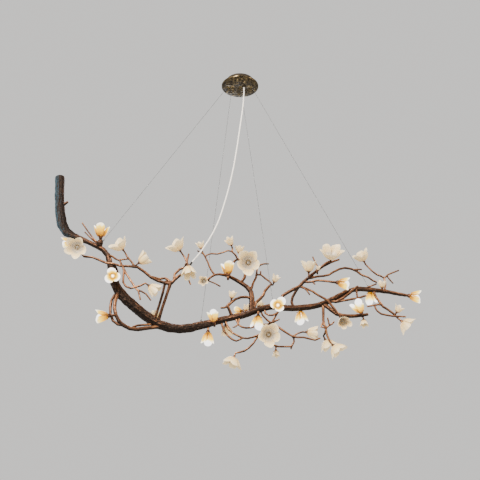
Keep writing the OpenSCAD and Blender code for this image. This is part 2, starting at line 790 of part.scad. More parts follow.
// The arch that stands on the trunk with two legs and spreads to both sides
module arch_limb() {
    off_trunk(root_end, left_end) {
        limb([
            [-400, -1390, 2, 9], [-390, -1347, -12, 8], [-380, -1308, -20, 7.5],
            [-364, -1252, -30, 7.5], [-353, -1213, -36, 8], [-347, -1190, -38, 10]]);
        limb([
            [-422, -1380, 2, 8], [-410, -1347, -10, 7], [-397, -1299, -18, 6.5],
            [-382, -1236, -28, 6.5], [-375, -1196, -36, 6.5], [-365, -1176, -38, 7]]);
        limb([
            [-338, -1182, -38, 9], [-352, -1188, -38, 10], [-378, -1184, -41, 8],
            [-411, -1174, -45, 7.5], [-445, -1156, -51, 7.5], [-480, -1126, -58, 7.5],
            [-515, -1102, -64, 7], [-553, -1098, -70, 6.5], [-605, -1095, -76, 6],
            [-640, -1084, -80, 6], [-674, -1080, -82, 6], [-704, -1067, -84, 6],
            [-744, -1050, -84, 5.5], [-792, -1046, -82, 5]]);
        limb([
            [-345, -1186, -38, 8], [-358, -1170, -34, 7], [-376, -1160, -34, 6.5],
            [-402, -1164, -38, 6], [-440, -1154, -48, 6]]);
        limb([
            [-348, -1192, -38, 9], [-327, -1170, -38, 8], [-306, -1150, -36, 7.5],
            [-284, -1134, -34, 7], [-276, -1107, -29, 7]]);
        limb([
            [-330, -1168, -38, 6], [-327, -1139, -31, 6], [-303, -1114, -27, 6.5],
            [-277, -1104, -28, 7], [-267, -1070, -28, 5.5], [-259, -1030, -28, 4.5]]);
        twig([
            [-282, -1130, -34, 6], [-268, -1145, -36, 5],
            [-257, -1167, -38, 4.5], [-245, -1195, -40, 4]]);
        tube(cord_stub_line(), limb_sides);
        stem([[-268, -1078, -28, 5], [-278, -1052, -27, 5]], large_places[2]);
        stem([[-277, -1104, -30, 6], [-270, -1084, -50, 5]], medium_places[2]);
        stem([[-515, -1102, -64, 6]], medium_places[0]);
        stem([[-744, -1050, -84, 5.5], [-790, -1044, -84, 5], [-812, -1020, -76, 5]], large_places[0]);
        stem([[-530, -1099, -68, 6], [-545, -1076, -70, 5.5], [-572, -1044, -73, 5]], large_places[1]);
        // Twigs between the root and the arch
        twig([
            [-662, -1040, -30, 7], [-645, -1045, -52, 6], [-628, -1058, -62, 5.5],
            [-606, -1068, -70, 5], [-594, -1094, -75, 6]]);
        twig([[-612, -1066, -68, 5], [-594, -1062, -70, 4.5], [-560, -1058, -71.5, 4]]);
        limb([
            [-638, -1085, -79, 6], [-630, -1096, -62, 7], [-620, -1112, -46, 7],
            [-612, -1140, -40, 7], [-608, -1190, -30, 7]]);
        twig([
            [-590, -1096, -74, 6], [-582, -1120, -76, 6], [-583, -1150, -78, 5.5],
            [-582, -1182, -80, 5.5], [-566, -1204, -82, 5.5], [-541, -1213, -84, 5.5],
            [-515, -1205, -86, 5.5], [-496, -1200, -88, 5]]);
        twig([
            [-590, -1096, -74, 5.5], [-571, -1134, -76, 5.5], [-549, -1167, -78, 5.5],
            [-531, -1193, -82, 5.5], [-522, -1208, -85, 5], [-504, -1227, -88, 5],
            [-497, -1252, -90, 4.5], [-491, -1273, -92, 4]]);
        twig([
            [-506, -1222, -88, 5], [-490, -1228, -86, 4.5],
            [-464, -1243, -84, 4.5], [-439, -1276, -80, 4]]);
        stem([[-520, -1206, -86, 5.5], [-496, -1200, -88, 5.5]], medium_places[1]);
    }
}
function cord_stub_line() =
    let (b = at(cord_stub), r = cord_r + 3.2, back = b - 12 * cord_up)
    concat(
        drawn([[-282, -1122, -32, 7]], twig_k),
        [[back[0], back[1], back[2], 7 * twig_k], [b[0], b[1], b[2], r * 0.9]]);

middle_root_line = [
    [55, -1340, -4, 15], [57, -1300, 6, 14], [59, -1262, 12, 14], [54, -1232, 16, 13],
    [36, -1208, 20, 12], [10, -1188, 22, 11], [-20, -1170, 22, 10], [-49, -1154, 20, 9],
    [-76, -1144, 16, 8], [-104, -1140, 12, 6.5], [-126, -1143, 8, 6], [-146, -1155, 4, 5.5]];
module middle_limb() {
    off_trunk(left_end, middle_end) {
        limb(middle_root_line);
        twig([
            [-128, -1142, 8, 5.5], [-146, -1116, 4, 5],
            [-163, -1075, 0, 4.5], [-178, -1044, -3, 4.5]]);
        twig([[-184, -1034, -4, 4], [-197, -1025, -10, 4], [-217, -1014, -12, 4]]);
        twig([
            [-176, -1050, -3, 4], [-168, -1038, -5, 4], [-147, -1030, -7, 4.5], [-115, -1032, -8, 4.5],
            [-89, -1025, -8, 4.5], [-63, -1014, -8, 4.5], [-43, -1018, -6, 4.5], [-24, -1036, 4, 5],
            [-10, -1062, 16, 5.5]]);
        twig([
            [-54, -1150, 22, 6], [-50, -1122, 32, 6.5], [-42, -1092, 34, 7], [-24, -1066, 26, 6.5],
            [-10, -1062, 16, 5]]);
        twig([[5, -1184, 22, 8], [23, -1157, 20, 8], [27, -1132, 18, 8], [28, -1098, 16, 7]]);
        twig([[-10, -1062, 16, 5.5], [10, -1072, 18, 6], [28, -1092, 16, 7]]);
        twig([
            [52, -1228, 16, 8], [66, -1184, 24, 6.5], [80, -1157, 28, 6], [83, -1136, 30, 5.5],
            [86, -1109, 32, 5], [100, -1092, 34, 5], [119, -1085, 36, 4.5], [146, -1085, 38, 4]]);
        twig([
            [82, -1142, 29, 5.5], [105, -1143, 32, 5], [124, -1160, 33, 5], [146, -1177, 32, 5],
            [156, -1190, 30, 5]]);
        twig([[102, -1145, 32, 4.5], [104, -1122, 30, 4]]);
        limb([
            [62, -1330, -2, 8], [78, -1286, 12, 8], [97, -1270, 18, 8], [114, -1250, 22, 8],
            [124, -1227, 25, 7.5], [140, -1207, 28, 7], [155, -1193, 30, 6]]);
        twig([[-146, -1156, 5, 5], [-158, -1174, 8, 4.5], [-126, -1187, 12, 4], [-97, -1204, 16, 4]]);
        stem([[-172, -1056, -2, 4.5], [-184, -1032, -4, 4.5]], bud_places[0]);
        stem([[-136, -1148, 6, 5.5], [-154, -1160, 0, 5]], bud_places[1]);
        stem([[-38, -1024, -2, 4.5], [-40, -1012, -6, 4.5]], bud_places[2]);
        stem([[142, -1204, 28, 6], [156, -1192, 30, 5.5]], bud_places[4]);
        stem([[-58, -1152, 20, 7], [-60, -1164, -4, 7]], lit_places[4], foot_r);
        stem([[26, -1120, 18, 7], [32, -1096, 14, 7]], large_places[3], foot_r);
        stem([[14, -1078, 20, 5], [4, -1064, 24, 5]], medium_places[7]);
    }
}

module small_limb() {
    color(bark)
        welded()
            difference() {
                union() {
                    limb([
                        [-38, -1358, -4, 8], [-50, -1331, -12, 7.5],
                        [-59, -1308, -16, 7], [-62, -1296, -16, 6]]);
                    limb([
                        [-96, -1314, -20, 5], [-76, -1312, -18, 5.5], [-60, -1304, -16, 6],
                        [-45, -1289, -14, 6], [-23, -1270, -10, 6.5], [5, -1258, -4, 7],
                        [34, -1258, 4, 7], [57, -1265, 12, 7]]);
                    stem([[-61, -1306, -16, 5], [-58, -1292, -16, 4.5]], bud_places[3]);
                }
                trunk_part(left_end, middle_end, weld_gap);
                tube(drawn(middle_root_line, twig_k), limb_sides, weld_gap);
            }
}

// Thin limbs that hang under the trunk's middle
module low_limb() {
    off_trunk(left_end, middle_end + 3) {
        twig([
            [-92, -1382, 2, 7], [-77, -1430, -10, 5.5], [-55, -1456, -18, 5.5], [-36, -1471, -22, 5],
            [-18, -1478, -24, 5], [0, -1470, -25, 5], [13, -1463, -25, 5], [38, -1465, -24, 5],
            [62, -1459, -18, 5], [88, -1449, -4, 5.5]]);
        twig([
            [-72, -1376, -4, 6], [-55, -1421, -20, 5], [-33, -1440, -24, 5], [-9, -1453, -26, 5],
            [14, -1463, -25, 5]]);
        stem([[88, -1449, -4, 6], [110, -1446, 12, 6.5]], large_places[4], foot_r);
        stem([
            [90, -1450, -4, 5], [78, -1468, -10, 5], [66, -1487, -12, 5], [44, -1510, -10, 5.5],
            [22, -1525, -6, 5.5], [0, -1532, -4, 5.5]], large_places[7]);
        twig([
            [-20, -1368, -8, 6], [-9, -1396, -16, 5], [7, -1408, -18, 5], [28, -1414, -6, 5],
            [53, -1412, 14, 5], [72, -1406, 26, 5], [92, -1399, 30, 5], [110, -1397, 28, 6],
            [132, -1397, 20, 6], [155, -1388, 6, 6], [175, -1378, -4, 5], [194, -1370, -10, 4]]);
        twig([[-2, -1362, -8, 5], [-9, -1397, -18, 4], [-24, -1408, -26, 4], [-36, -1411, -28, 3.5]]);
        // The tangle under the lit blossom in the middle
        twig([[194, -1318, 4, 6], [180, -1345, -2, 5], [165, -1370, 2, 5], [153, -1389, 4, 5]]);
        twig([
            [120, -1320, -6, 5], [124, -1340, -14, 5], [140, -1350, -18, 5], [160, -1350, -14, 5],
            [183, -1339, -1, 5]]);
        twig([[98, -1322, -2, 5], [110, -1350, 0, 5], [130, -1372, 4, 5], [151, -1389, 5, 5]]);
        // The net that runs on to the right
        twig([
            [158, -1388, 4, 6], [180, -1405, -2, 6], [203, -1422, -8, 6], [230, -1441, -12, 5.5],
            [252, -1454, -14, 5.5], [277, -1460, -14, 5.5], [308, -1460, -15, 5], [332, -1466, -16, 5],
            [362, -1474, -16, 4.5], [388, -1463, -16, 4]]);
        stem([[256, -1455, -14, 5], [280, -1440, 10, 4.5]], medium_places[4]);
        twig([
            [252, -1454, -14, 5.5], [260, -1466, -9, 5], [261, -1480, -6, 5], [250, -1500, -2, 5],
            [244, -1518, 0, 4]]);
        twig([
            [250, -1500, -2, 5], [238, -1505, 0, 5], [210, -1505, 4, 5], [186, -1505, 8, 5],
            [164, -1499, 12, 5], [148, -1484, 18, 5], [140, -1460, 18, 5], [126, -1446, 9, 5]]);
        stem([[184, -1504, 8, 5]], bud_places[7]);
    }
}

// The limb that climbs from the trunk to the highest blossoms on the right
module crown_limb() {
    off_trunk(middle_end - 6, trunk_last) {
        limb([
            [192, -1304, 6, 9], [198, -1276, 2, 9], [212, -1250, -2, 8.5], [236, -1235, -5, 8.5],
            [265, -1218, -8, 8.5], [295, -1203, -11, 8.5], [317, -1180, -18, 8.5], [343, -1156, -26, 8],
            [376, -1129, -36, 7.5], [406, -1105, -44, 7], [430, -1084, -49, 7]]);
        limb([
            [262, -1314, 12, 7], [254, -1283, 8, 7], [260, -1258, 2, 7], [277, -1228, -5, 7],
            [295, -1203, -11, 7]]);
        stem([[430, -1084, -49, 7], [446, -1074, -51, 7]], large_places[5], foot_r);
        twig([
            [300, -1203, -12, 6], [318, -1210, -16, 5],
            [332, -1226, -19, 4.5], [346, -1247, -22, 4]]);
        twig([
            [410, -1104, -45, 6], [446, -1083, -44, 6],
            [476, -1070, -42, 5.5], [502, -1061, -40, 5]]);
        stem([[340, -1162, -26, 7], [343, -1158, -46, 6]], medium_places[5]);
        twig([
            [399, -1111, -42, 5], [389, -1098, -38, 4.5],
            [376, -1071, -34, 4], [367, -1046, -30, 3.5]]);
        stem([[383, -1124, -39, 5]], bud_places[8]);
        twig([
            [340, -1162, -26, 7], [385, -1152, -30, 6], [417, -1149, -32, 6], [444, -1143, -34, 6],
            [469, -1127, -34, 6], [499, -1112, -34, 6], [528, -1106, -32, 6], [560, -1112, -30, 6],
            [585, -1124, -26, 6], [607, -1143, -22, 5.5], [641, -1156, -14, 5], [662, -1173, -8, 5],
            [682, -1182, -4, 4.5]]);
        twig([[572, -1117, -28, 5], [592, -1114, -32, 4.5], [612, -1115, -36, 4]]);
        stem([
            [317, -1180, -18, 6], [343, -1181, -28, 6], [366, -1177, -35, 6], [386, -1172, -41, 6],
            [416, -1174, -48, 6], [446, -1178, -56, 6]], lit_places[11], foot_r);
        twig([[361, -1178, -34, 4.5], [373, -1193, -40, 4]]);
        // The twig that crosses in front of the trunk
        stem([
            [300, -1204, -12, 7], [332, -1216, -16, 6], [360, -1229, -19, 6], [387, -1249, -21, 6],
            [418, -1266, -22, 6.5], [437, -1282, -22, 7], [456, -1308, -24, 7], [482, -1344, -26, 6]],
            medium_places[6]);
    }
}

side_line = [
    [414, -1296, 18, 11], [447, -1324, 8, 10], [471, -1343, 0, 10], [502, -1353, -5, 10],
    [534, -1355, -8, 10], [565, -1354, -11, 9], [596, -1350, -14, 8.5], [628, -1346, -16, 7]];
module side_limb() {
    off_trunk(middle_end, trunk_last) {
        limb(side_line);
        stem([[590, -1352, -14, 8]], lit_places[14], foot_r);
        stem([[600, -1351, -14, 6]], bud_places[11]);
        limb([
            [440, -1280, 16, 8], [474, -1282, 6, 7], [510, -1262, -4, 7], [543, -1238, -11, 7],
            [577, -1208, -17, 6], [588, -1202, -18, 5]]);
        twig([
            [466, -1284, 8, 7], [509, -1277, -4, 6], [548, -1269, -10, 6], [580, -1265, -12, 6],
            [611, -1254, -12, 5.5], [626, -1251, -12, 4.5]]);
        twig([[574, -1212, -16, 5.5], [578, -1235, -14, 5], [580, -1263, -12, 5]]);
    }
}

module drop_limb() {
    color(bark)
        welded()
            difference() {
                union() {
                    limb([
                        [408, -1296, 18, 8], [408, -1342, 4, 7], [406, -1375, -4, 6.5],
                        [409, -1397, -8, 6.5], [417, -1419, -9, 6], [416, -1444, -9, 6]]);
                    twig([[405, -1382, -5, 5], [393, -1409, -10, 4.5], [414, -1413, -9, 5]]);
                    twig([
                        [427, -1362, -14, 4], [432, -1384, -12, 4.5],
                        [434, -1400, -10, 5], [418, -1414, -9, 5]]);
                    twig([[460, -1381, -16, 4], [446, -1396, -13, 4.5], [432, -1402, -10, 5]]);
                    stem([[417, -1424, -9, 6], [412, -1438, 10, 6]], large_places[8]);
                    stem([[417, -1424, -9, 6], [422, -1452, -28, 6]], large_places[9]);
                }
                trunk_part(middle_end, trunk_last, weld_gap);
                tube(drawn(side_line, twig_k), limb_sides, weld_gap);
            }
}

module tip_twigs() {
    off_trunk(middle_end, trunk_last) {
        stem([
            [716, -1229, 20, 6], [724, -1190, 30, 5.5], [718, -1158, 32, 5], [705, -1150, 31, 5],
            [684, -1141, 29, 5], [663, -1124, 26, 4.5]], large_places[6]);
        twig([[720, -1160, 32, 5], [742, -1141, 33, 4.5], [768, -1130, 36, 4.5], [797, -1119, 39, 4]]);
        twig([[734, -1148, 33, 4], [748, -1170, 35, 4], [763, -1189, 37, 3.5]]);
        twig([[612, -1216, 12, 5], [651, -1201, 2, 4.5], [680, -1190, -2, 4]]);
        stem([
            [660, -1222, 14, 7], [673, -1262, 4, 6.5], [686, -1281, 0, 6.5], [703, -1307, -4, 6.5],
            [727, -1323, -8, 6], [747, -1339, -12, 6]], large_places[10]);
        twig([
            [698, -1298, -3, 5], [680, -1296, -8, 5], [662, -1300, -12, 5],
            [640, -1303, -17, 5], [624, -1306, -20, 4.5]]);
        twig([
            [664, -1299, -12, 5], [664, -1312, -14, 5], [673, -1329, -16, 5], [691, -1344, -17, 5],
            [715, -1349, -17, 5], [746, -1355, -16, 5], [777, -1356, -17, 4.5], [811, -1358, -20, 4]]);
        stem([[744, -1337, -12, 5]], bud_places[10]);
    }
}

// ---- blossoms ----

module calyx_cups() {
    color(bark) {
        for (f = lit_places)
            on_foot(f)
                difference() {
                    union() {
                        cylinder(h = pocket_z, r = foot_r);
                        translate([0, 0, pocket_z])
                            cylinder(h = calyx_h - pocket_z, r1 = foot_r + 3, r2 = calyx_r);
                    }
                    translate([0, 0, pocket_z])
                        cylinder(h = calyx_h, r = shank_hole);
                }
        for (f = concat(large_places, medium_places, bud_places))
            on_foot(f)
                cylinder(h = bud_calyx_h, r1 = bud_foot_r, r2 = bud_calyx_r);
    }
}
module lamp_holders() {
    color("#d9cfba")
        for (f = lit_places)
            on_foot(f)
                difference() {
                    union() {
                        translate([0, 0, holder_low])
                            cylinder(h = holder_top - holder_low, r = holder_r);
                        translate([0, 0, calyx_h + glass_t])
                            cylinder(h = holder_flange_t, r = flange_r);
                    }
                    translate([0, 0, holder_top - plug_l - gap])
                        cylinder(h = plug_l + gap + 1, d = plug_d + 2 * fit_gap);
                }
}
module led(i) {
    color("#fff0c8")
        on_foot(lit_places[i - 1])
            translate([0, 0, holder_top]) {
                translate([0, 0, -plug_l])
                    cylinder(h = plug_l + 0.5, d = plug_d);
                translate([0, 0, gap])
                    cylinder(h = led_l - led_d / 2, d = led_d);
                translate([0, 0, gap + led_l - led_d / 2])
                    sphere(d = led_d);
            }
}
module lit_shades() {
    color(glass)
        for (i = [0:len(lit_places) - 1])
            on_foot(lit_places[i])
                translate([0, 0, calyx_h])
                    rotate(lit_places[i][6])
                        cup(
                            lit_w * lit_places[i][5], lit_rise, calyx_r + 0.5, shank_hole,
                            [lit_petals, lit_notch, i], lit_points, 2);
}
module closed_cups(list, width, rise_share, n, steps) {
    color(glass)
        for (i = [0:len(list) - 1])
            on_foot(list[i])
                translate([0, 0, bud_calyx_h])
                    cup(
                        width * list[i][5], rise_share, bud_calyx_r, 0,
                        [petals, notch, i], n, steps);
}
module large_blossoms() {
    closed_cups(large_places, large_w, large_rise, open_points, 3);
}
module medium_blossoms() {
    closed_cups(medium_places, medium_w, lit_rise, open_points, 2);
}
module buds() {
    closed_cups(bud_places, bud_w, lit_rise, bud_points, 2);
}

ceiling_plate();
load_posts();
canopy_pan();
canopy_disc();
disc_screws();
led_driver();
driver_screws();
terminal_block();
supply_grommet();
swivel_seats();
cord_gland();
cable_grippers();
plunger(0);  // plunger_1
plunger(1);  // plunger_2
plunger(2);  // plunger_3
plunger(3);  // plunger_4
cable(0);  // cable_1
cable(1);  // cable_2
cable(2);  // cable_3
cable(3);  // cable_4
cable_sleeves();
branch_eyes();
power_cord();
cord_boot();
branch_grommet();
root_stub();
trunk_left();
trunk_middle();
trunk_right();
trunk_twigs();
loop_limb();
arch_limb();
middle_limb();
small_limb();
low_limb();
crown_limb();
side_limb();
drop_limb();
tip_twigs();
calyx_cups();
lamp_holders();
lit_shades();
large_blossoms();
medium_blossoms();
buds();
led(1);  // led_1
led(2);  // led_2
led(3);  // led_3
led(4);  // led_4
led(5);  // led_5
led(6);  // led_6
led(7);  // led_7
led(8);  // led_8
led(9);  // led_9
led(10);  // led_10
led(11);  // led_11
led(12);  // led_12
led(13);  // led_13
led(14);  // led_14
led(15);  // led_15
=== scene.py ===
"""Looks of the branch chandelier.

A cast bronze branch hangs on four steel ropes from a round canopy and carries blossoms
of cast glass.  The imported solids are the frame, in metres.  The branch gets one skin of
furrowed bronze, each blossom gets petals of its own, and the canopy, the ropes, the cord
and the lamps get the finishes that the real ones have.
"""
import logging
import math
from collections.abc import Sequence
from dataclasses import dataclass, field
from enum import Enum

import bmesh
import bpy
import numpy as np
from bpy.types import Material, Mesh, NodeSocket, NodeTree, Object
from mathutils import Matrix, Vector
from mathutils.bvhtree import BVHTree


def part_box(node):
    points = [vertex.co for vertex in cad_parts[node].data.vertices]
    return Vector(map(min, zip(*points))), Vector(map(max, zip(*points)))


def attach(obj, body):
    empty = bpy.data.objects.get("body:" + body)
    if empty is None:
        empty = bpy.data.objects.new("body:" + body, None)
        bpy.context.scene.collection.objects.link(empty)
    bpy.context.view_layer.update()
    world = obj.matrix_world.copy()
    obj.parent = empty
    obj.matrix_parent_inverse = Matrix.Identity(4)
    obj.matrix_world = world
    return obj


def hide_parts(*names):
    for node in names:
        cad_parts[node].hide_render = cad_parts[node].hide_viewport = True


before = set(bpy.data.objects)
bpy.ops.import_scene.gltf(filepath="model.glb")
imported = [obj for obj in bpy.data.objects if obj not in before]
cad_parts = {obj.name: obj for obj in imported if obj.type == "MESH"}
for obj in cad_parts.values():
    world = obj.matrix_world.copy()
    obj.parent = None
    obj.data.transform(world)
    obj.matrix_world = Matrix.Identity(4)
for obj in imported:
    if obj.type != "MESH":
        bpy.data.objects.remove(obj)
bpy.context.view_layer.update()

log = logging.getLogger("chandelier")
MM = 0.001
Triple = tuple[float, float, float]
Outline = Sequence[tuple[float, float]]

# The camera's eye: the photograph was taken from this far in front of the ceiling point
# and this far below it, and the branch is drawn in elevation as seen from there.
EYE = Vector((0.0, -3154 * MM, -2167 * MM))


# ---- places ----


class Bloom(Enum):
    """The four kinds of blossom on the branch."""

    LIT = "lit"
    LARGE = "large"
    MEDIUM = "medium"
    BUD = "bud"


@dataclass(frozen=True)
class Place:
    """The foot of a calyx on the branch, in the drawing's millimetres, and where it faces.

    Azimuth 0 faces the viewer and 90 the tip of the branch.  Spin is how far the petals
    are turned on the foot.
    """

    across: float
    up: float
    depth: float
    azimuth: float
    elevation: float
    share: float
    spin: float = 0

    def foot(self) -> Vector:
        """Returns the foot in metres, moved along the line of sight by its depth."""
        return seen(self.across, self.up, self.depth)

    def turn(self) -> Triple:
        """Returns the Euler angles that turn +Z to where the blossom faces."""
        return (0.0, math.radians(90 - self.elevation), math.radians(self.azimuth - 90))

    def axis(self) -> Vector:
        """Returns the direction in which the blossom opens."""
        a, e = math.radians(self.azimuth), math.radians(self.elevation)
        return Vector((math.cos(e) * math.sin(a), -math.cos(e) * math.cos(a), math.sin(e)))


def seen(across: float, up: float, depth: float) -> Vector:
    """Turns a point of the drawing into metres.

    Args:
        across: Millimetres to the right of the ceiling point.
        up: Millimetres above the ceiling, so mostly negative.
        depth: Millimetres behind the ceiling point, along the line of sight.

    Returns:
        The point in the frame of the solids.
    """
    k = 1 - depth * MM / EYE.y
    return Vector((across * k, depth, EYE.z / MM + (up - EYE.z / MM) * k)) * MM


PLACES: dict[Bloom, list[Place]] = {
    Bloom.LIT: [
        Place(-712, -952, -28, 0, 84, 1.1), Place(-848, -962, -46, -80, -15, 0.78, 30),
        Place(-635, -1150, -62, 8, -14, 1.08, 70), Place(-632, -1352, -80, -80, -8, 0.97, 30),
        Place(-60, -1152, -26, 0, 85, 1.04), Place(-126, -1391, -32, -15, 60, 0.86, 60),
        Place(-155, -1426, 6, 0, -86, 0.97), Place(21, -1342, 21, -120, 25, 0.7),
        Place(185, -1301, -24, 0, -12, 1.06, 15), Place(89, -1348, -18, -15, -75, 0.96),
        Place(296, -1321, 44, 0, -86, 0.98), Place(476, -1182, -60, 84, -8, 0.92, 90),
        Place(827, -1250, 28, 78, -14, 0.92, 90), Place(642, -1226, 42, 10, -80, 0.92),
        Place(596, -1344, -36, -38, 46, 0.96, 60),
    ],
    Bloom.LARGE: [
        Place(-824, -996, -88, 0, -22, 1.02), Place(-590, -1014, -74, -45, 40, 1.02),
        Place(-300, -1020, -26, -50, 45, 1.02), Place(42, -1080, -4, 0, -16, 1.2),
        Place(138, -1447, -8, 2, -13, 1.1), Place(457, -1064, -52, 4, 42, 1.16),
        Place(627, -1076, 34, -48, 50, 0.92), Place(-26, -1549, -2, -80, -70, 0.94),
        Place(409, -1466, 38, 90, -66, 0.9), Place(444, -1494, -52, 80, -50, 0.95),
        Place(783, -1376, -16, 85, -42, 0.95),
    ],
    Bloom.MEDIUM: [
        Place(-514, -1084, -68, 80, 35, 1.02), Place(-459, -1195, -88, 100, -35, 1),
        Place(-262, -1092, -72, 30, -72, 1.06), Place(-72, -1394, 37, 155, -62, 0.9),
        Place(316, -1434, 34, 80, -5, 1), Place(344, -1136, -54, 0, 78, 1.02),
        Place(496, -1374, -36, 5, -28, 0.95), Place(-3, -1036, 24, 0, 76, 0.7),
    ],
    Bloom.BUD: [
        Place(-193, -1010, -4, -30, 60, 1.02), Place(-178, -1176, -14, -5, -14, 1.12),
        Place(-43, -988, -8, -20, 35, 1.06), Place(-43, -1271, -16, 30, 65, 1),
        Place(168, -1185, 31, 30, 45, 1), Place(30, -1338, 56, 160, 62, 0.98),
        Place(94, -1317, 50, 160, 60, 0.96), Place(172, -1519, 10, -10, -80, 0.86),
        Place(390, -1124, -60, 10, 55, 0.55), Place(706, -1217, 0, -10, 66, 1),
        Place(764, -1340, -14, 40, 45, 1), Place(602, -1368, -14, 0, -75, 0.98),
        Place(-412, -1376, 40, 0, 82, 1.2),
    ],
}


# ---- nodes ----

ATTRIBUTE = "ShaderNodeAttribute"
BUMP = "ShaderNodeBump"
COMBINE = "ShaderNodeCombineXYZ"
EULER = "FunctionNodeEulerToRotation"
INSTANCES = "GeometryNodeInstanceOnPoints"
JOIN = "GeometryNodeJoinGeometry"
MAP_RANGE = "ShaderNodeMapRange"
MATH = "ShaderNodeMath"
MIX = "ShaderNodeMix"
NAMED = "GeometryNodeInputNamedAttribute"
POINTS = "GeometryNodeMeshToPoints"
RAMP = "ShaderNodeValToRGB"
RANDOM = "FunctionNodeRandomValue"
SWEEP = "GeometryNodeCurveToMesh"


def add(
        tree: NodeTree, kind: str, inputs: dict | Sequence = (), out: int | str = 0,
        stops: Sequence[tuple[float, str]] = (), **settings: object) -> NodeSocket | None:
    """Adds one node to a tree.

    Args:
        tree: The node tree.
        kind: The node's type.
        inputs: A value, a socket or a list of sockets for each input, in order or by key.
        out: The output that is wanted.
        stops: A place from 0 to 1 and an sRGB colour for each stop of a colour ramp.
        **settings: The node's own settings.

    Returns:
        That output, or None where the node has none.
    """
    node = tree.nodes.new(kind)
    for name, value in settings.items():
        setattr(node, name, value)
    for key, values in inputs.items() if isinstance(inputs, dict) else enumerate(inputs):
        for value in values if isinstance(values, list) else [values]:
            if isinstance(value, NodeSocket):
                tree.links.new(value, node.inputs[key])
            else:
                node.inputs[key].default_value = value
    if stops:
        elements = node.color_ramp.elements
        while len(elements) < len(stops):
            elements.new(0.5)
        for element, (place, _) in zip(elements, stops):
            element.position = place
        # The stops sort themselves by place, so their colours come after
        for element, (_, code) in zip(elements, stops):
            element.color = colour(code)
    return node.outputs[out] if len(node.outputs) else None


def colour(hex_code: str) -> tuple[float, float, float, float]:
    """Turns an sRGB hex code into a linear colour.

    Args:
        hex_code: Six hex digits after a #.

    Returns:
        Red, green, blue and 1.
    """
    parts = [int(hex_code[i : i + 2], 16) / 255 for i in (1, 3, 5)]
    linear = [c / 12.92 if c <= 0.04045 else ((c + 0.055) / 1.055) ** 2.4 for c in parts]
    return (*linear, 1.0)


def facing(tree: NodeTree) -> NodeSocket:
    """Returns the rotation of +Z to where each point's blossom faces."""
    turn = add(tree, NAMED, {"Name": "turn"}, data_type="FLOAT_VECTOR")
    return add(tree, EULER, (turn,))


def turned(tree: NodeTree, rotation: NodeSocket, **angle: NodeSocket) -> NodeSocket:
    """Turns a rotation further, about its own axes.

    Args:
        tree: The tree.
        rotation: The rotation so far.
        **angle: X, Y or Z and how far it turns about that axis, in radians.

    Returns:
        The new rotation.
    """
    own = add(tree, EULER, (add(tree, COMBINE, angle),))
    return add(tree, "FunctionNodeRotateRotation", (rotation, own), rotation_space="LOCAL")


@dataclass
class Recipe:
    """A Geometry Nodes tree with named inputs.

    A whole number makes an input of whole numbers, and any other an input of floats.
    """

    name: str
    values: dict[str, float]

    def __post_init__(self) -> None:
        """Starts the tree with its inputs."""
        self.tree = bpy.data.node_groups.new(self.name, "GeometryNodeTree")
        sockets = self.tree.interface
        sockets.new_socket(name="Geometry", in_out="INPUT", socket_type="NodeSocketGeometry")
        for label, value in self.values.items():
            kind = "NodeSocketInt" if isinstance(value, int) else "NodeSocketFloat"
            sockets.new_socket(name=label, in_out="INPUT", socket_type=kind)
        sockets.new_socket(name="Geometry", in_out="OUTPUT", socket_type="NodeSocketGeometry")
        self.given = self.tree.nodes.new("NodeGroupInput").outputs

    def run(self, thing: Object, shape: NodeSocket, material: Material) -> Object:
        """Ends the tree in real, smooth geometry and keeps the result as a plain mesh.

        Args:
            thing: The object that the tree starts from.
            shape: The socket that carries the shape.
            material: What the shape is made of.

        Returns:
            The object with its new mesh.
        """
        real = add(self.tree, "GeometryNodeRealizeInstances", (shape,))
        smooth = add(self.tree, "GeometryNodeSetShadeSmooth", (real,))
        dressed = add(self.tree, "GeometryNodeSetMaterial", {0: smooth, "Material": material})
        add(self.tree, "NodeGroupOutput", (dressed,))
        modifier = thing.modifiers.new(self.name, "NODES")
        modifier.node_group = self.tree
        for item in self.tree.interface.items_tree:
            if item.in_out == "INPUT" and item.name in self.values:
                modifier[item.identifier] = self.values[item.name]
        return made_plain(thing)


# ---- meshes ----


def placed(name: str, data: bpy.types.ID) -> Object:
    """Makes an object of some data, links it to the scene and returns it.

    Args:
        name: The object's name.
        data: The mesh, light or camera that it holds.
    """
    thing = bpy.data.objects.new(name, data)
    bpy.context.scene.collection.objects.link(thing)
    return thing


def mesh_object(
        name: str, points: Sequence[Sequence[float]], faces: Sequence[Sequence[int]] = (),
        edges: Sequence[tuple[int, int]] = ()) -> Object:
    """Makes a smooth mesh object.

    Args:
        name: The object's name.
        points: One row of three metres for each point.
        faces: The point numbers of each face.
        edges: The point numbers of each loose edge.

    Returns:
        The object, linked to the scene, with no material.
    """
    mesh = bpy.data.meshes.new(name)
    mesh.from_pydata([tuple(p) for p in np.asarray(points, float)], edges, [tuple(f) for f in faces])
    mesh.polygons.foreach_set("use_smooth", [True] * len(mesh.polygons))
    mesh.update()
    return placed(name, mesh)


def lathe(name: str, outline: Sequence[tuple], sides: int, unit: float = 1.0) -> Object:
    """Closes a stack of rings about +Z into a solid.

    Args:
        name: The object's name.
        outline: Each ring's radius and height, from the lower pole up to the upper one:
            one number, or one for each side.
        sides: Faces round the axis.
        unit: The outline's unit in metres.

    Returns:
        The solid.
    """
    turn = np.linspace(0, math.tau, sides, endpoint=False)
    rings = [np.stack([r * np.cos(turn), r * np.sin(turn), np.zeros(sides) + z], 1) for r, z in outline]
    faces = [
        (i * sides + k, i * sides + (k + 1) % sides, (i + 1) * sides + (k + 1) % sides, (i + 1) * sides + k)
        for i in range(len(rings) - 1) for k in range(sides)]
    faces.append(tuple(range(sides - 1, -1, -1)))
    faces.append(tuple((len(rings) - 1) * sides + k for k in range(sides)))
    return mesh_object(name, np.concatenate(rings) * unit, faces)


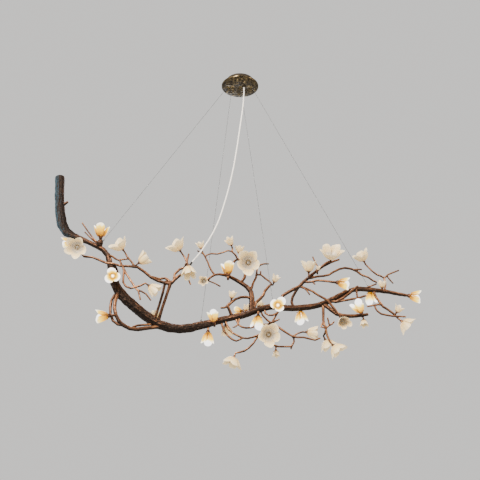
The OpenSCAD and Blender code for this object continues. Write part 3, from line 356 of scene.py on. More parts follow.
def beds(name: str, places: Sequence[Place], lift: float = 0.0) -> Object:
    """Makes a point for each place, which knows how its blossom faces.

    Args:
        name: The object's name.
        places: Where the blossoms stand.
        lift: How far up the blossom's axis the point is.

    Returns:
        An object of loose points.
    """
    thing = mesh_object(name, [p.foot() + p.axis() * lift for p in places])
    attribute(thing, "turn", np.array([p.turn() for p in places]))
    return thing


def attribute(thing: Object, name: str, values: np.ndarray) -> None:
    """Stores one number or one vector for each point of a mesh.

    Args:
        thing: The mesh object.
        name: The attribute's name.
        values: One value for each point, or three for a vector.
    """
    kind, key = ("FLOAT_VECTOR", "vector") if values.ndim == 2 else ("FLOAT", "value")
    store = thing.data.attributes.new(name, kind, "POINT")
    store.data.foreach_set(key, values.astype(np.float32).ravel())


def read_attribute(mesh: Mesh, name: str) -> np.ndarray:
    """Returns the numbers that attribute() stored.

    Args:
        mesh: The mesh to read.
        name: The attribute's name.
    """
    values = np.empty(len(mesh.vertices), np.float32)
    mesh.attributes[name].data.foreach_get("value", values)
    return values


def read_points(mesh: Mesh) -> np.ndarray:
    """Returns a mesh's points, one row of three metres for each."""
    co = np.empty(len(mesh.vertices) * 3, np.float32)
    mesh.vertices.foreach_get("co", co)
    return co.reshape(-1, 3).astype(float)


def write_points(mesh: Mesh, points: np.ndarray) -> None:
    """Moves a mesh's points."""
    mesh.vertices.foreach_set("co", points.astype(np.float32).ravel())
    mesh.update()


def read_normals(mesh: Mesh) -> np.ndarray:
    """Returns a mesh's point normals."""
    co = np.empty(len(mesh.vertices) * 3, np.float32)
    mesh.vertex_normals.foreach_get("vector", co)
    return co.reshape(-1, 3).astype(float)


def read_edges(mesh: Mesh) -> np.ndarray:
    """Returns the two points of each edge."""
    ends = np.empty(len(mesh.edges) * 2, np.int32)
    mesh.edges.foreach_get("vertices", ends)
    return ends.reshape(-1, 2)


def spread(
        values: np.ndarray, ends: np.ndarray, rounds: int, share: float = 0.5,
        weights: np.ndarray | None = None) -> np.ndarray:
    """Lets the values at a mesh's points flow to their neighbours.

    Args:
        values: One number or one row for each point.
        ends: The two points of each edge.
        rounds: How many steps to take.
        share: How much of a value is its neighbours' after a step.
        weights: How freely each edge lets a value through, or None where all are alike.

    Returns:
        The values after the last step.
    """
    count, shape = len(values), values.shape
    values = values.reshape(count, -1)
    weights = np.ones(len(ends)) if weights is None else weights
    a, b = ends[:, 0], ends[:, 1]

    def gathered(at_a: np.ndarray, at_b: np.ndarray) -> np.ndarray:
        """Adds up at each point what its edges bring from their other ends.

        Args:
            at_a: The value at each edge's first point, which goes to the second.
            at_b: The value at each edge's second point, which goes to the first.
        """
        return np.bincount(a, at_b, count) + np.bincount(b, at_a, count)

    total = np.maximum(gathered(weights, weights), 1e-9)[:, None]
    for _ in range(rounds):
        moved = [gathered(weights * column[a], weights * column[b]) for column in values.T]
        values = (1 - share) * values + share * np.stack(moved, 1) / total
    return values.reshape(shape)


def paint(thing: Object, material: Material) -> None:
    """Gives a piece one material in place of what it has."""
    thing.data.materials.clear()
    thing.data.materials.append(material)


def made_plain(thing: Object) -> Object:
    """Turns an object with modifiers into a plain mesh.

    Args:
        thing: The object whose modifiers are applied and removed.

    Returns:
        The same object.
    """
    graph = bpy.context.evaluated_depsgraph_get()
    mesh = bpy.data.meshes.new_from_object(
        thing.evaluated_get(graph), preserve_all_data_layers=True, depsgraph=graph)
    thing.modifiers.clear()
    thing.data = mesh
    return thing


def merged_copy(nodes: Sequence[str], name: str) -> Object:
    """Copies solids of the frame into one mesh whose doubles are merged.

    Args:
        nodes: The names of the solids.
        name: The new object's name.

    Returns:
        The new object.
    """
    bm = bmesh.new()
    for node in nodes:
        bm.from_mesh(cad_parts[node].data)
    bmesh.ops.remove_doubles(bm, verts=bm.verts, dist=0.001 * MM)
    mesh = bpy.data.meshes.new(name)
    bm.to_mesh(mesh)
    bm.free()
    mesh.materials.clear()
    for layer in list(mesh.uv_layers):
        mesh.uv_layers.remove(layer)
    return placed(name, mesh)


def join(parts: Sequence[Object], name: str) -> Object:
    """Joins meshes at the origin into one.

    Args:
        parts: The objects; all but the first are removed.
        name: The joined object's name.

    Returns:
        The first object, which now holds all the meshes.
    """
    chosen = list(parts)
    with bpy.context.temp_override(
            active_object=parts[0], selected_objects=chosen, selected_editable_objects=chosen):
        bpy.ops.object.join()
    parts[0].name = parts[0].data.name = name
    return parts[0]


def laid_along(direction: Vector, start: Vector) -> Matrix:
    """Returns the matrix that lays +Z along a direction from a start."""
    return Matrix.Translation(start) @ direction.to_track_quat("Z", "Y").to_matrix().to_4x4()


def hang(thing: Object, body: str, slot: str, *nodes: str) -> Object:
    """Hands a finished piece to the frame.

    Args:
        thing: The piece.
        body: The body that it moves with.
        slot: The name of a material slot; not used.
        *nodes: The solids that it stands for.

    Returns:
        The piece.
    """
    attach(thing, body)
    if nodes:
        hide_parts(*nodes)
    log.info("%s: %d faces on %s", thing.name, len(thing.data.polygons), body)
    return thing


# ---- finishes ----


class Finish:
    """What a surface is made of and how it was made."""

    name: str

    def looks(self, tree: NodeTree) -> dict[str, object]:
        """Returns what the shader's inputs get: a value, or a socket of the tree."""
        raise NotImplementedError

    def material(self) -> Material:
        """Returns the finish as a material with one shader."""
        made = bpy.data.materials.new(self.name)
        made.use_nodes = True
        made.node_tree.nodes.clear()
        shader = add(made.node_tree, "ShaderNodeBsdfPrincipled", self.looks(made.node_tree))
        add(made.node_tree, "ShaderNodeOutputMaterial", {"Surface": shader})
        return made


def grit(tree: NodeTree, size: float, detail: float = 3.0, out: int | str = 0) -> NodeSocket:
    """Adds noise whose lumps have a real size.

    Args:
        tree: The material's tree.
        size: The lumps' size in metres.
        detail: How many finer layers the noise has.
        out: The output that is wanted.

    Returns:
        The noise, from 0 to 1.
    """
    place = add(tree, "ShaderNodeTexCoord", out="Object")
    inputs = {"Vector": place, "Scale": 1 / size, "Detail": detail}
    return add(tree, "ShaderNodeTexNoise", inputs, out)


def stored(tree: NodeTree, *names: str) -> list[NodeSocket]:
    """Returns the numbers that a piece's mesh carries under these names."""
    return [add(tree, ATTRIBUTE, out="Fac", attribute_name=name) for name in names]


@dataclass(frozen=True)
class AgedBronze(Finish):
    """Bronze cast in an open mould, then patinated and rubbed back.

    The patina stays dark in the furrows and the rubbing leaves copper light on the ridges.
    The thick wood is darker and the twigs lighter, and a copper highlight is painted on
    the tops, so the branch reads as wood with warm edges.
    """

    name: str = "aged_bronze"
    deep: str = "#110c0a"
    wood: str = "#2e2119"
    mid: str = "#6b4731"
    # also the colour of the highlight painted on the tops
    rubbed: str = "#c18a5c"
    speck: str = "#c08e6c"
    # a painted reflection of blue light on the root's side, dull and bright
    reflected_blue: tuple[str, str] = ("#2f3c43", "#4f6c7c")
    sand: float = 2.2 * MM
    hand: float = 45 * MM

    def looks(self, tree: NodeTree) -> dict[str, object]:
        """Returns the bronze, which reads the skin's grain, ridge and painted blue reflection.

        Args:
            tree: The tree of the material.
        """
        grain, ridge, weather = stored(tree, "grain", "ridge", "weather")
        # Rubbing reached the ridges, unevenly over a hand's width; the same value carries the highlight
        # painted on the tops and on the side that faces the tip
        patch = add(tree, MAP_RANGE, (grit(tree, self.hand, 4.0), 0.3, 0.7, 0.75, 1.2))
        lift = add(tree, MATH, (ridge, patch), operation="MULTIPLY")
        streak = add(tree, MAP_RANGE, (grain, -2.0, 2.0, -0.07, 0.07))
        wear_and_highlight = add(tree, MATH, (lift, streak), operation="ADD")
        base = add(tree, RAMP, (wear_and_highlight,), stops=[
            (0.1, self.deep), (0.38, self.wood), (0.62, self.mid), (0.88, self.rubbed)])
        speck = add(tree, MAP_RANGE, (grit(tree, self.sand, 2.0), 0.56, 0.74, 0.0, 0.16))
        base = add(tree, MIX, {0: speck, 6: base, 7: colour(self.speck)}, 2, data_type="RGBA")
        # The painted blue reflection, clouded
        cloud = add(tree, MAP_RANGE, (grit(tree, 9 * MM), 0.35, 0.65))
        dull, blue = (colour(code) for code in self.reflected_blue)
        blue = add(tree, MIX, {0: cloud, 6: dull, 7: blue}, 2, data_type="RGBA")
        relief = (grain, 0.45, grit(tree, self.sand, 4.0))
        relief = add(tree, MATH, relief, operation="MULTIPLY_ADD")
        return {
            "Metallic": 0.8,
            "Base Color": add(tree, MIX, {0: weather, 6: base, 7: blue}, 2, data_type="RGBA"),
            "Roughness": add(tree, MAP_RANGE, (wear_and_highlight, 0.2, 0.8, 0.58, 0.36)),
            "Normal": add(tree, BUMP, {"Height": relief, "Distance": 0.5 * MM, "Strength": 0.6})}


@dataclass(frozen=True)
class HammeredIron(Finish):
    """Iron beaten over a stake and waxed: overlapping dents with a highlight painted at their rims
    and glints painted on their crests, and flecks of brass dust rubbed into some places."""

    name: str = "hammered_iron"
    dark: str = "#231d14"
    # the painted highlight at the dents' rims
    edge: str = "#584c33"
    # brass dust, also the colour of the painted glints on the crests
    dust: str = "#bda67a"
    dent: float = 12 * MM
    depth: float = 2.6 * MM
    wobble: float = 4 * MM

    def looks(self, tree: NodeTree) -> dict[str, object]:
        """Returns the iron, with dents of the hammer's size.

        Args:
            tree: The tree of the material.
        """
        place = add(tree, "ShaderNodeTexCoord", out="Object")
        wobble = (grit(tree, 6 * MM, 1.0, "Color"), (self.wobble,) * 3, place)
        shifted = add(tree, "ShaderNodeVectorMath", wobble, operation="MULTIPLY_ADD")
        dents = {"Vector": shifted, "Scale": 1 / self.dent}
        height = add(tree, "ShaderNodeTexVoronoi", dents, "Distance", feature="SMOOTH_F1")
        # Painted highlight: lighter towards each dent's rim
        rim = add(tree, MAP_RANGE, (height, 0.3, 0.62))
        flakes_and_glints = add(tree, MAP_RANGE, (grit(tree, 3 * MM), 0.6, 0.74, 0.0, 0.8))
        # Painted glints: the dust colour on the highest crests
        bright = add(tree, MAP_RANGE, (height, 0.6, 0.8))
        flakes_and_glints = add(tree, MATH, (flakes_and_glints, bright), operation="MAXIMUM")
        dark, edge, dust = (colour(code) for code in (self.dark, self.edge, self.dust))
        base = add(tree, MIX, {0: rim, 6: dark, 7: edge}, 2, data_type="RGBA")
        return {
            "Metallic": 0.85,
            "Base Color": add(tree, MIX, {0: flakes_and_glints, 6: base, 7: dust}, 2, data_type="RGBA"),
            "Roughness": add(tree, MAP_RANGE, (rim, 0, 1, 0.5, 0.28)),
            "Normal": add(tree, BUMP, {"Height": height, "Distance": self.depth, "Strength": 1.0})}


@dataclass(frozen=True)
class Clouded(Finish):
    """A finish of one colour that is clouded a little, with fine marks all over."""

    name: str
    light: str
    shade: str
    roughness: float

    def clouded(
            self, tree: NodeTree, cloud: tuple[float, float, float], marks: NodeSocket,
            play: float, depth: float) -> dict[str, object]:
        """Sets colour, roughness and relief.

        Args:
            tree: The material's tree.
            cloud: The clouds' size in metres, and where they start and end.
            marks: The fine marks, from 0 to 1.
            play: How far the marks move the roughness either way.
            depth: How deep the marks are, in metres.

        Returns:
            What these three inputs of the shader get.
        """
        size, low, high = cloud
        cloud = add(tree, MAP_RANGE, (grit(tree, size), low, high))
        tones = {0: cloud, 6: colour(self.shade), 7: colour(self.light)}
        range_ = (marks, 0.3, 0.7, self.roughness - play, self.roughness + play)
        return {
            "Base Color": add(tree, MIX, tones, 2, data_type="RGBA"),
            "Roughness": add(tree, MAP_RANGE, range_),
            "Normal": add(tree, BUMP, {"Height": marks, "Distance": depth, "Strength": 1.0})}


@dataclass(frozen=True)
class Metal(Clouded):
    """A plain metal part, turned, drawn or pressed, with the fine marks of its making.

    The marks are coarser than real tool marks, so that they show at all.
    """

    metallic: float = 1.0
    mark: float = 1.5 * MM
    depth: float = 0.05 * MM

    def looks(self, tree: NodeTree) -> dict[str, object]:
        """Returns the metal.

        Args:
            tree: The tree of the material.
        """
        marks = grit(tree, self.mark, 5.0)
        rest = self.clouded(tree, (14 * MM, 0.3, 0.7), marks, 0.08, self.depth)
        return {"Metallic": self.metallic, **rest}


@dataclass(frozen=True)
class Moulded(Clouded):
    """A moulded or fired part that is no metal: plastic, rubber or porcelain."""

    ior: float = 1.5
    grain: float = 1.2 * MM
    depth: float = 0.04 * MM
    coat: float = 0.0

    def looks(self, tree: NodeTree) -> dict[str, object]:
        """Returns the moulded finish."""
        rest = self.clouded(tree, (20 * MM, 0.35, 0.65), grit(tree, self.grain), 0.06, self.depth)
        return {"IOR": self.ior, "Coat Weight": self.coat, **rest}


@dataclass(frozen=True)
class Rope(Finish):
    """Bright-drawn steel wire laid into a rope, grey where grease has kept the dust."""

    name: str = "drawn_steel_wire"
    bright: str = "#76797c"
    dusty: str = "#3c3e41"

    def looks(self, tree: NodeTree) -> dict[str, object]:
        """Returns the steel of the ropes.

        Args:
            tree: The tree of the material.
        """
        dust = add(tree, MAP_RANGE, (grit(tree, 8 * MM), 0.35, 0.7))
        tones = {0: dust, 6: colour(self.bright), 7: colour(self.dusty)}
        return {
            "Metallic": 1.0,
            "Base Color": add(tree, MIX, tones, 2, data_type="RGBA"),
            "Roughness": add(tree, MAP_RANGE, (dust, 0, 1, 0.28, 0.5))}


@dataclass(frozen=True)
class CastGlass(Finish):
    """Opal glass slumped into petals and etched outside.

    It is ivory where it is thick, at the rims, and clearer towards the heart, where a
    grey shade is painted inside the cup.
    """

    name: str = "etched_opal_glass"
    rim: str = "#ffeec6"
    body: str = "#fbd994"
    # painted shade inside the cup
    heart: str = "#b8b3a8"
    foot: str = "#dfb26c"
    # painted shade deep in the cup, on its floor
    throat: str = "#9c988f"
    middle: str = "#f1d9a6"
    milk: str = "#fbe8c4"
    groove: str = "#dcbf8c"
    ribs: float = 13.0  # radians of rib from a petal's middle to its edge

    def looks(self, tree: NodeTree) -> dict[str, object]:
        """Returns the unlit glass, which reads the petal's own coordinates.

        Args:
            tree: The tree of the material.
        """
        along, across, inside = stored(tree, "along", "across", "inside")
        # The ribs fan out from the heart, four to a petal
        turn = add(tree, MATH, (across, self.ribs), operation="MULTIPLY")
        rib = add(tree, MATH, (turn,), operation="COSINE")
        fade = add(tree, MAP_RANGE, (along, 0.35, 0.75))
        wave = add(tree, MATH, (rib, fade), operation="MULTIPLY")
        cloud = grit(tree, 16 * MM, 1.5)
        outer = add(tree, RAMP, (along,), stops=[
            (0.0, self.foot), (0.35, self.body), (0.9, self.rim)])
        # Inside, the cup is painted greyer towards the heart, as shade
        inner = add(tree, RAMP, (along,), stops=[
            (0.0, self.throat), (0.3, self.heart), (0.5, self.middle), (0.9, self.rim)])
        base = add(tree, MIX, {0: inside, 6: outer, 7: inner}, 2, data_type="RGBA")
        milky = add(tree, MAP_RANGE, (cloud, 0.4, 0.75, 0.0, 0.4))
        base = add(tree, MIX, {0: milky, 6: base, 7: colour(self.milk)}, 2, data_type="RGBA")
        groove = {
            0: add(tree, MAP_RANGE, (wave, -1, 1, 0.0, 0.14)), 6: base, 7: colour(self.groove)}
        relief = add(tree, MATH, (wave, 0.14, cloud), operation="MULTIPLY_ADD")
        return {
            "IOR": 1.5, "Coat Weight": 0.15, "Coat Roughness": 0.2,
            "Subsurface Weight": 0.14, "Subsurface Scale": 1.0,
            "Subsurface Radius": (12 * MM, 9 * MM, 6 * MM),
            "Base Color": add(tree, MIX, groove, 2, data_type="RGBA", blend_type="MULTIPLY"),
            "Roughness": add(tree, MAP_RANGE, (along, 0.1, 0.7, 0.28, 0.5)),
            "Normal": add(tree, BUMP, {"Height": relief, "Distance": 0.9 * MM, "Strength": 0.7})}


@dataclass(frozen=True)
class LitGlass(Finish):
    """The same opal glass with its lamp on: amber where it is thick by the calyx, white
    where the light leaves it at the rims and inside the cup."""

    name: str = "lit_opal_glass"
    glow: float = 2.8
    shadow: str = "#1a0e04"

    def looks(self, tree: NodeTree) -> dict[str, object]:
        """Returns the glowing glass, which reads the petal's own coordinates.

        Args:
            tree: The tree of the material.
        """
        along, across, inside = stored(tree, "along", "across", "inside")
        cloud = add(tree, MAP_RANGE, (grit(tree, 12 * MM), 0.3, 0.7, -0.1, 0.1))
        place = add(tree, MATH, (along, cloud), operation="ADD")
        # The folds between two petals are double glass and stay amber further up
        fold = add(tree, MATH, (across, across), operation="MULTIPLY")
        deep = add(tree, MAP_RANGE, (fold, 0.35, 1.0, 0.0, 0.34))
        place = add(tree, MATH, (place, deep), operation="SUBTRACT")
        outer = add(tree, RAMP, (place,), stops=[
            (0.0, "#6a3c00"), (0.22, "#a87000"), (0.5, "#dda200"), (0.74, "#f4d250"),
            (0.94, "#fff8e4")])
        inner = add(tree, RAMP, (place,), stops=[
            (0.0, "#b88200"), (0.2, "#e0ae00"), (0.42, "#f8e27c"), (0.6, "#ffffff")])
        light = add(tree, MIX, {0: inside, 6: outer, 7: inner}, 2, data_type="RGBA")
        dimmed = {0: 0.75, 6: light, 7: colour(self.shadow)}
        relief = {"Height": grit(tree, 7 * MM), "Distance": 0.5 * MM, "Strength": 0.6}
        return {
            "IOR": 1.5, "Roughness": 0.35, "Coat Weight": 0.2, "Emission Strength": self.glow,
            "Emission Color": light,
            "Base Color": add(tree, MIX, dimmed, 2, data_type="RGBA"),
            "Normal": add(tree, BUMP, relief)}


@dataclass(frozen=True)
class FrostedSilicone(Finish):
    """Frosted silicone over a filament of small diodes: a warm core under a milky skin."""

    name: str = "frosted_silicone"
    glow: float = 5.0

    def looks(self, tree: NodeTree) -> dict[str, object]:
        """Returns the lit silicone.

        Args:
            tree: The tree of the material.
        """
        cells = grit(tree, 3 * MM, 1.0)
        light = add(tree, RAMP, (cells,), stops=[(0.35, "#ffd58c"), (0.6, "#fff4dc")])
        return {
            "IOR": 1.41, "Roughness": 0.45, "Emission Strength": self.glow,
            "Emission Color": light, "Base Color": light}


@dataclass(frozen=True)
class ClearGlass(Finish):
    """The drawn glass button in the heart of an open blossom, clear and fire-polished."""

    name: str = "clear_drawn_glass"

    def looks(self, tree: NodeTree) -> dict[str, object]:
        """Returns the clear glass with a few seeds of air in it.

        Args:
            tree: The tree of the material.
        """
        seeds = grit(tree, 3 * MM, 2.0)
        return {
            "IOR": 1.5, "Transmission Weight": 0.55, "Coat Weight": 0.5,
            "Base Color": add(tree, RAMP, (seeds,), stops=[(0.35, "#b8b5ab"), (0.65, "#e9e6dc")]),
            "Roughness": add(tree, MAP_RANGE, (seeds, 0.3, 0.7, 0.06, 0.14))}


@dataclass(frozen=True)
class PalePlaster(Finish):
    """Trowelled plaster, nearly white, with faint clouds."""

    name: str = "pale_plaster"

    def looks(self, tree: NodeTree) -> dict[str, object]:
        """Returns the floor's plaster."""
        tones = {0: grit(tree, 0.4), 6: colour("#f1eeea"), 7: colour("#f7f5f1")}
        return {"Roughness": 0.8, "Base Color": add(tree, MIX, tones, 2, data_type="RGBA")}


# ---- the branch ----


@dataclass
class Branch:
    """The cast branch: trunk, limbs and twigs under one furrowed skin.

    The skin is one mesh over all the solids, so the welds flow into each other.  It is
    parted again where one solid's wood ends and the next one's begins.
    """

    material: Material
    nodes: tuple[str, ...] = (
        "root_stub", "trunk_left", "trunk_middle", "trunk_right", "trunk_twigs", "loop_limb",
        "arch_limb", "middle_limb", "small_limb", "low_limb", "crown_limb", "side_limb",
        "drop_limb", "tip_twigs")
    voxel: float = 2.0 * MM
    easing: tuple[float, ...] = (0.5, -0.53) * 14  # in and out again, so that nothing thins
    furrow: float = 0.011  # a furrow's depth, as a share of the wood's thickness
    furrow_reach: int = 45  # how many points far a furrow runs
    deepest: float = 2.2  # the deepest furrow, in furrows
    knot: float = 0.04  # a knot's height, as a share of the wood's thickness
    knot_size: float = 17 * MM
    fuller: float = 0.35 * MM  # what a faceted tube lacks to its round
    thinnest: float = 6 * MM
    thickest: float = 52 * MM
    seed: int = 11

    def make(self) -> None:
        """Builds the skin, parts it and hands each part to the frame."""
        skin = self.welded()
        self.measure(skin)
        self.furrowed(skin)
        # The knots stay inside the box that all the wood fills
        corners = np.array([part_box(node) for node in self.nodes])
        points = np.clip(read_points(skin.data), corners[:, 0].min(0), corners[:, 1].max(0))
        write_points(skin.data, points)
        self.shade(skin)
        self.part(skin)

    def welded(self) -> Object:
        """Returns one closed mesh over all the wood, with its facets rounded off."""
        skin = merged_copy(self.nodes, "bark")
        weld = skin.modifiers.new("weld", "REMESH")
        weld.mode = "VOXEL"
        weld.voxel_size = self.voxel
        weld.use_smooth_shade = True
        made_plain(skin)
        ends, points = read_edges(skin.data), read_points(skin.data)
        for share in self.easing:
            points = spread(points, ends, 1, share)
        write_points(skin.data, points)
        return skin

    def measure(self, skin: Object) -> None:
        """Stores the wood's thickness and its lengthwise grain at each point of the skin.

        Args:
            skin: The branch's skin, one closed mesh.
        """
        ends = read_edges(skin.data)
        points, normals = read_points(skin.data), read_normals(skin.data)
        # The skin bends least along the wood, so that is the way the grain runs
        pairs = [(0, 0), (0, 1), (0, 2), (1, 1), (1, 2), (2, 2)]
        spans = np.stack([normals[:, i] * normals[:, j] for i, j in pairs], 1)
        spans = spread(spans, ends, self.furrow_reach)
        tensor = np.empty((len(points), 3, 3))
        for k, (i, j) in enumerate(pairs):
            tensor[:, i, j] = tensor[:, j, i] = spans[:, k]
        run = np.linalg.eigh(tensor)[1][:, :, 0]
        step = points[ends[:, 1]] - points[ends[:, 0]]
        step /= np.maximum(np.linalg.norm(step, axis=1), 1e-9)[:, None]
        freely = np.exp(7.0 * (np.abs(np.einsum("ij,ij->i", step, run[ends[:, 0]])) ** 2 - 1))
        chance = np.random.default_rng(self.seed)
        grain = spread(chance.normal(size=len(points)), ends, 2)
        grain = spread(grain, ends, self.furrow_reach, weights=freely)
        grain = (grain - grain.mean()) / grain.std()
        attribute(skin, "grain", np.clip(grain, -self.deepest, self.deepest))
        # A ray from each point tells how far the other side of the wood is
        solid = BVHTree.FromPolygons(
            [tuple(p) for p in points], [tuple(p.vertices) for p in skin.data.polygons])
        through = np.empty(len(points))
        for i, (point, normal) in enumerate(zip(points, normals)):
            inward = Vector(-normal)
            hit = solid.ray_cast(Vector(point) + inward * 0.5 * MM, inward, 60 * MM)
            through[i] = hit[3] if hit[3] else 10 * MM
        attribute(skin, "girth", np.clip(spread(through, ends, 8), self.thinnest, self.thickest))

    def furrowed(self, skin: Object) -> None:
        """Sinks furrows and raises knots in the skin, in step with the thickness.

        Args:
            skin: The branch's skin, one closed mesh.
        """
        bark = Recipe("bark", {
            "Furrow": self.furrow, "Knot": self.knot, "Knot Size": self.knot_size,
            "Fuller": self.fuller})
        tree, given = bark.tree, bark.given
        grain, girth = (
            add(tree, NAMED, {"Name": name}, data_type="FLOAT") for name in ("grain", "girth"))
        pitch = add(tree, MATH, (1.0, given["Knot Size"]), operation="DIVIDE")
        lumps = add(tree, "ShaderNodeTexNoise", {"Scale": pitch, "Detail": 2.0})
        lump = add(tree, MATH, (lumps, 0.5), operation="SUBTRACT")
        knots = add(tree, MATH, (lump, given["Knot"]), operation="MULTIPLY")
        knots = add(tree, MATH, (knots, 3.0), operation="MULTIPLY")
        both = add(tree, MATH, (grain, given["Furrow"], knots), operation="MULTIPLY_ADD")
        rise = add(tree, MATH, (both, girth, given["Fuller"]), operation="MULTIPLY_ADD")
        lift = {0: add(tree, "GeometryNodeInputNormal"), "Scale": rise}
        lift = add(tree, "ShaderNodeVectorMath", lift, operation="SCALE")
        moved = {"Geometry": given["Geometry"], "Offset": lift}
        bark.run(skin, add(tree, "GeometryNodeSetPosition", moved), self.material)

    def shade(self, skin: Object) -> None:
        """Stores the skin's rubbing and painted highlights, and the root's painted blue reflection.

        Args:
            skin: The branch's skin, one closed mesh.
        """
        ends = read_edges(skin.data)
        points, normals = read_points(skin.data), read_normals(skin.data)
        girth = read_attribute(skin.data, "girth")
        to_tip, to_back, upwards = normals.T
        proud = np.einsum("ij,ij->i", points - spread(points, ends, 14), normals)
        proud = spread(proud, ends, 1)
        # A thin twig is round all over, so its own roundness is taken off first
        ridge = 0.06 * (proud - spread(proud, ends, 60)) / (0.22 * MM)
        # Rubbing lightens the ridges, the thin twigs are lighter and the root darker, and a highlight is
        # painted on the tops and faintly on the side that faces the tip
        thin = 1 - np.clip((girth - 8 * MM) / (34 * MM), 0, 1)
        wear_and_highlight = 0.22 + ridge + 0.38 * thin + 0.36 * upwards + 0.06 * to_tip
        root = np.clip((-0.8 - points[:, 0]) / 0.1, 0, 1)
        root = root * np.clip((points[:, 2] + 0.97) / 0.05, 0, 1)
        root *= np.clip((girth - 12 * MM) / (8 * MM), 0, 1)
        # Painted highlight: a thin copper line down the root's edge that faces the tip
        edge = np.clip((to_tip - 0.8) / 0.15, 0, 1) * np.clip(0.75 - to_back, 0, 1)
        attribute(skin, "ridge", np.clip(wear_and_highlight * (1 - 0.8 * root) + 0.55 * root * edge, 0, 1))
        # Painted reflection: blue light on the side of the root that faces away from the tip
        attribute(skin, "weather", root * np.clip(-to_tip * 2.0 - 0.25, 0, 1) * 0.85)

    def part(self, skin: Object) -> None:
        """Parts the skin where the wood of one solid meets the next one's.

        Args:
            skin: The branch's skin, one closed mesh.
        """
        corners: list[Vector] = []
        tris: list[tuple[int, ...]] = []
        owner: list[int] = []
        for number, node in enumerate(self.nodes):
            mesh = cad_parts[node].data
            first = len(corners)
            corners += [v.co for v in mesh.vertices]
            tris += [tuple(first + i for i in face.vertices) for face in mesh.polygons]
            owner += [number] * len(mesh.polygons)
        solids = BVHTree.FromPolygons(corners, tris)
        points, normals = read_points(skin.data), read_normals(skin.data)
        faces = np.array([tuple(p.vertices) for p in skin.data.polygons])
        owners = np.array([owner[solids.find_nearest(Vector(m))[2]] for m in points[faces].mean(1)])
        stores = {name: read_attribute(skin.data, name) for name in ("grain", "ridge", "weather")}
        for number, node in enumerate(self.nodes):
            mine = faces[owners == number]
            used, numbers = np.unique(mine, return_inverse=True)
            piece = mesh_object(f"{node}_bark", points[used], numbers.reshape(mine.shape))
            for name, values in stores.items():
                attribute(piece, name, values[used])
            piece.data.normals_split_custom_set_from_vertices([tuple(n) for n in normals[used]])
            paint(piece, self.material)
            hang(piece, "hanging", "aged_copper", node)
        bpy.data.objects.remove(skin)


# ---- the blossoms ----


@dataclass(frozen=True)
class Cup:
    """The wall of a blossom: where it starts on the calyx and how far it opens."""

    seat: float
    half: float
    rise: float
    wall: float = 3.0 * MM

    def point(self, angle: np.ndarray, s: np.ndarray) -> np.ndarray:
        """Returns the outer face at an angle, at a share s of the way to the rim.

        Args:
            angle: The angle round the cup, in radians.
            s: The share of the way to the rim.
        """
        s = np.maximum(s, 1e-4)
        r = self.seat + (self.half - self.seat) * s**0.62
        return np.stack([r * np.cos(angle), r * np.sin(angle), self.rise * s**1.25], -1)


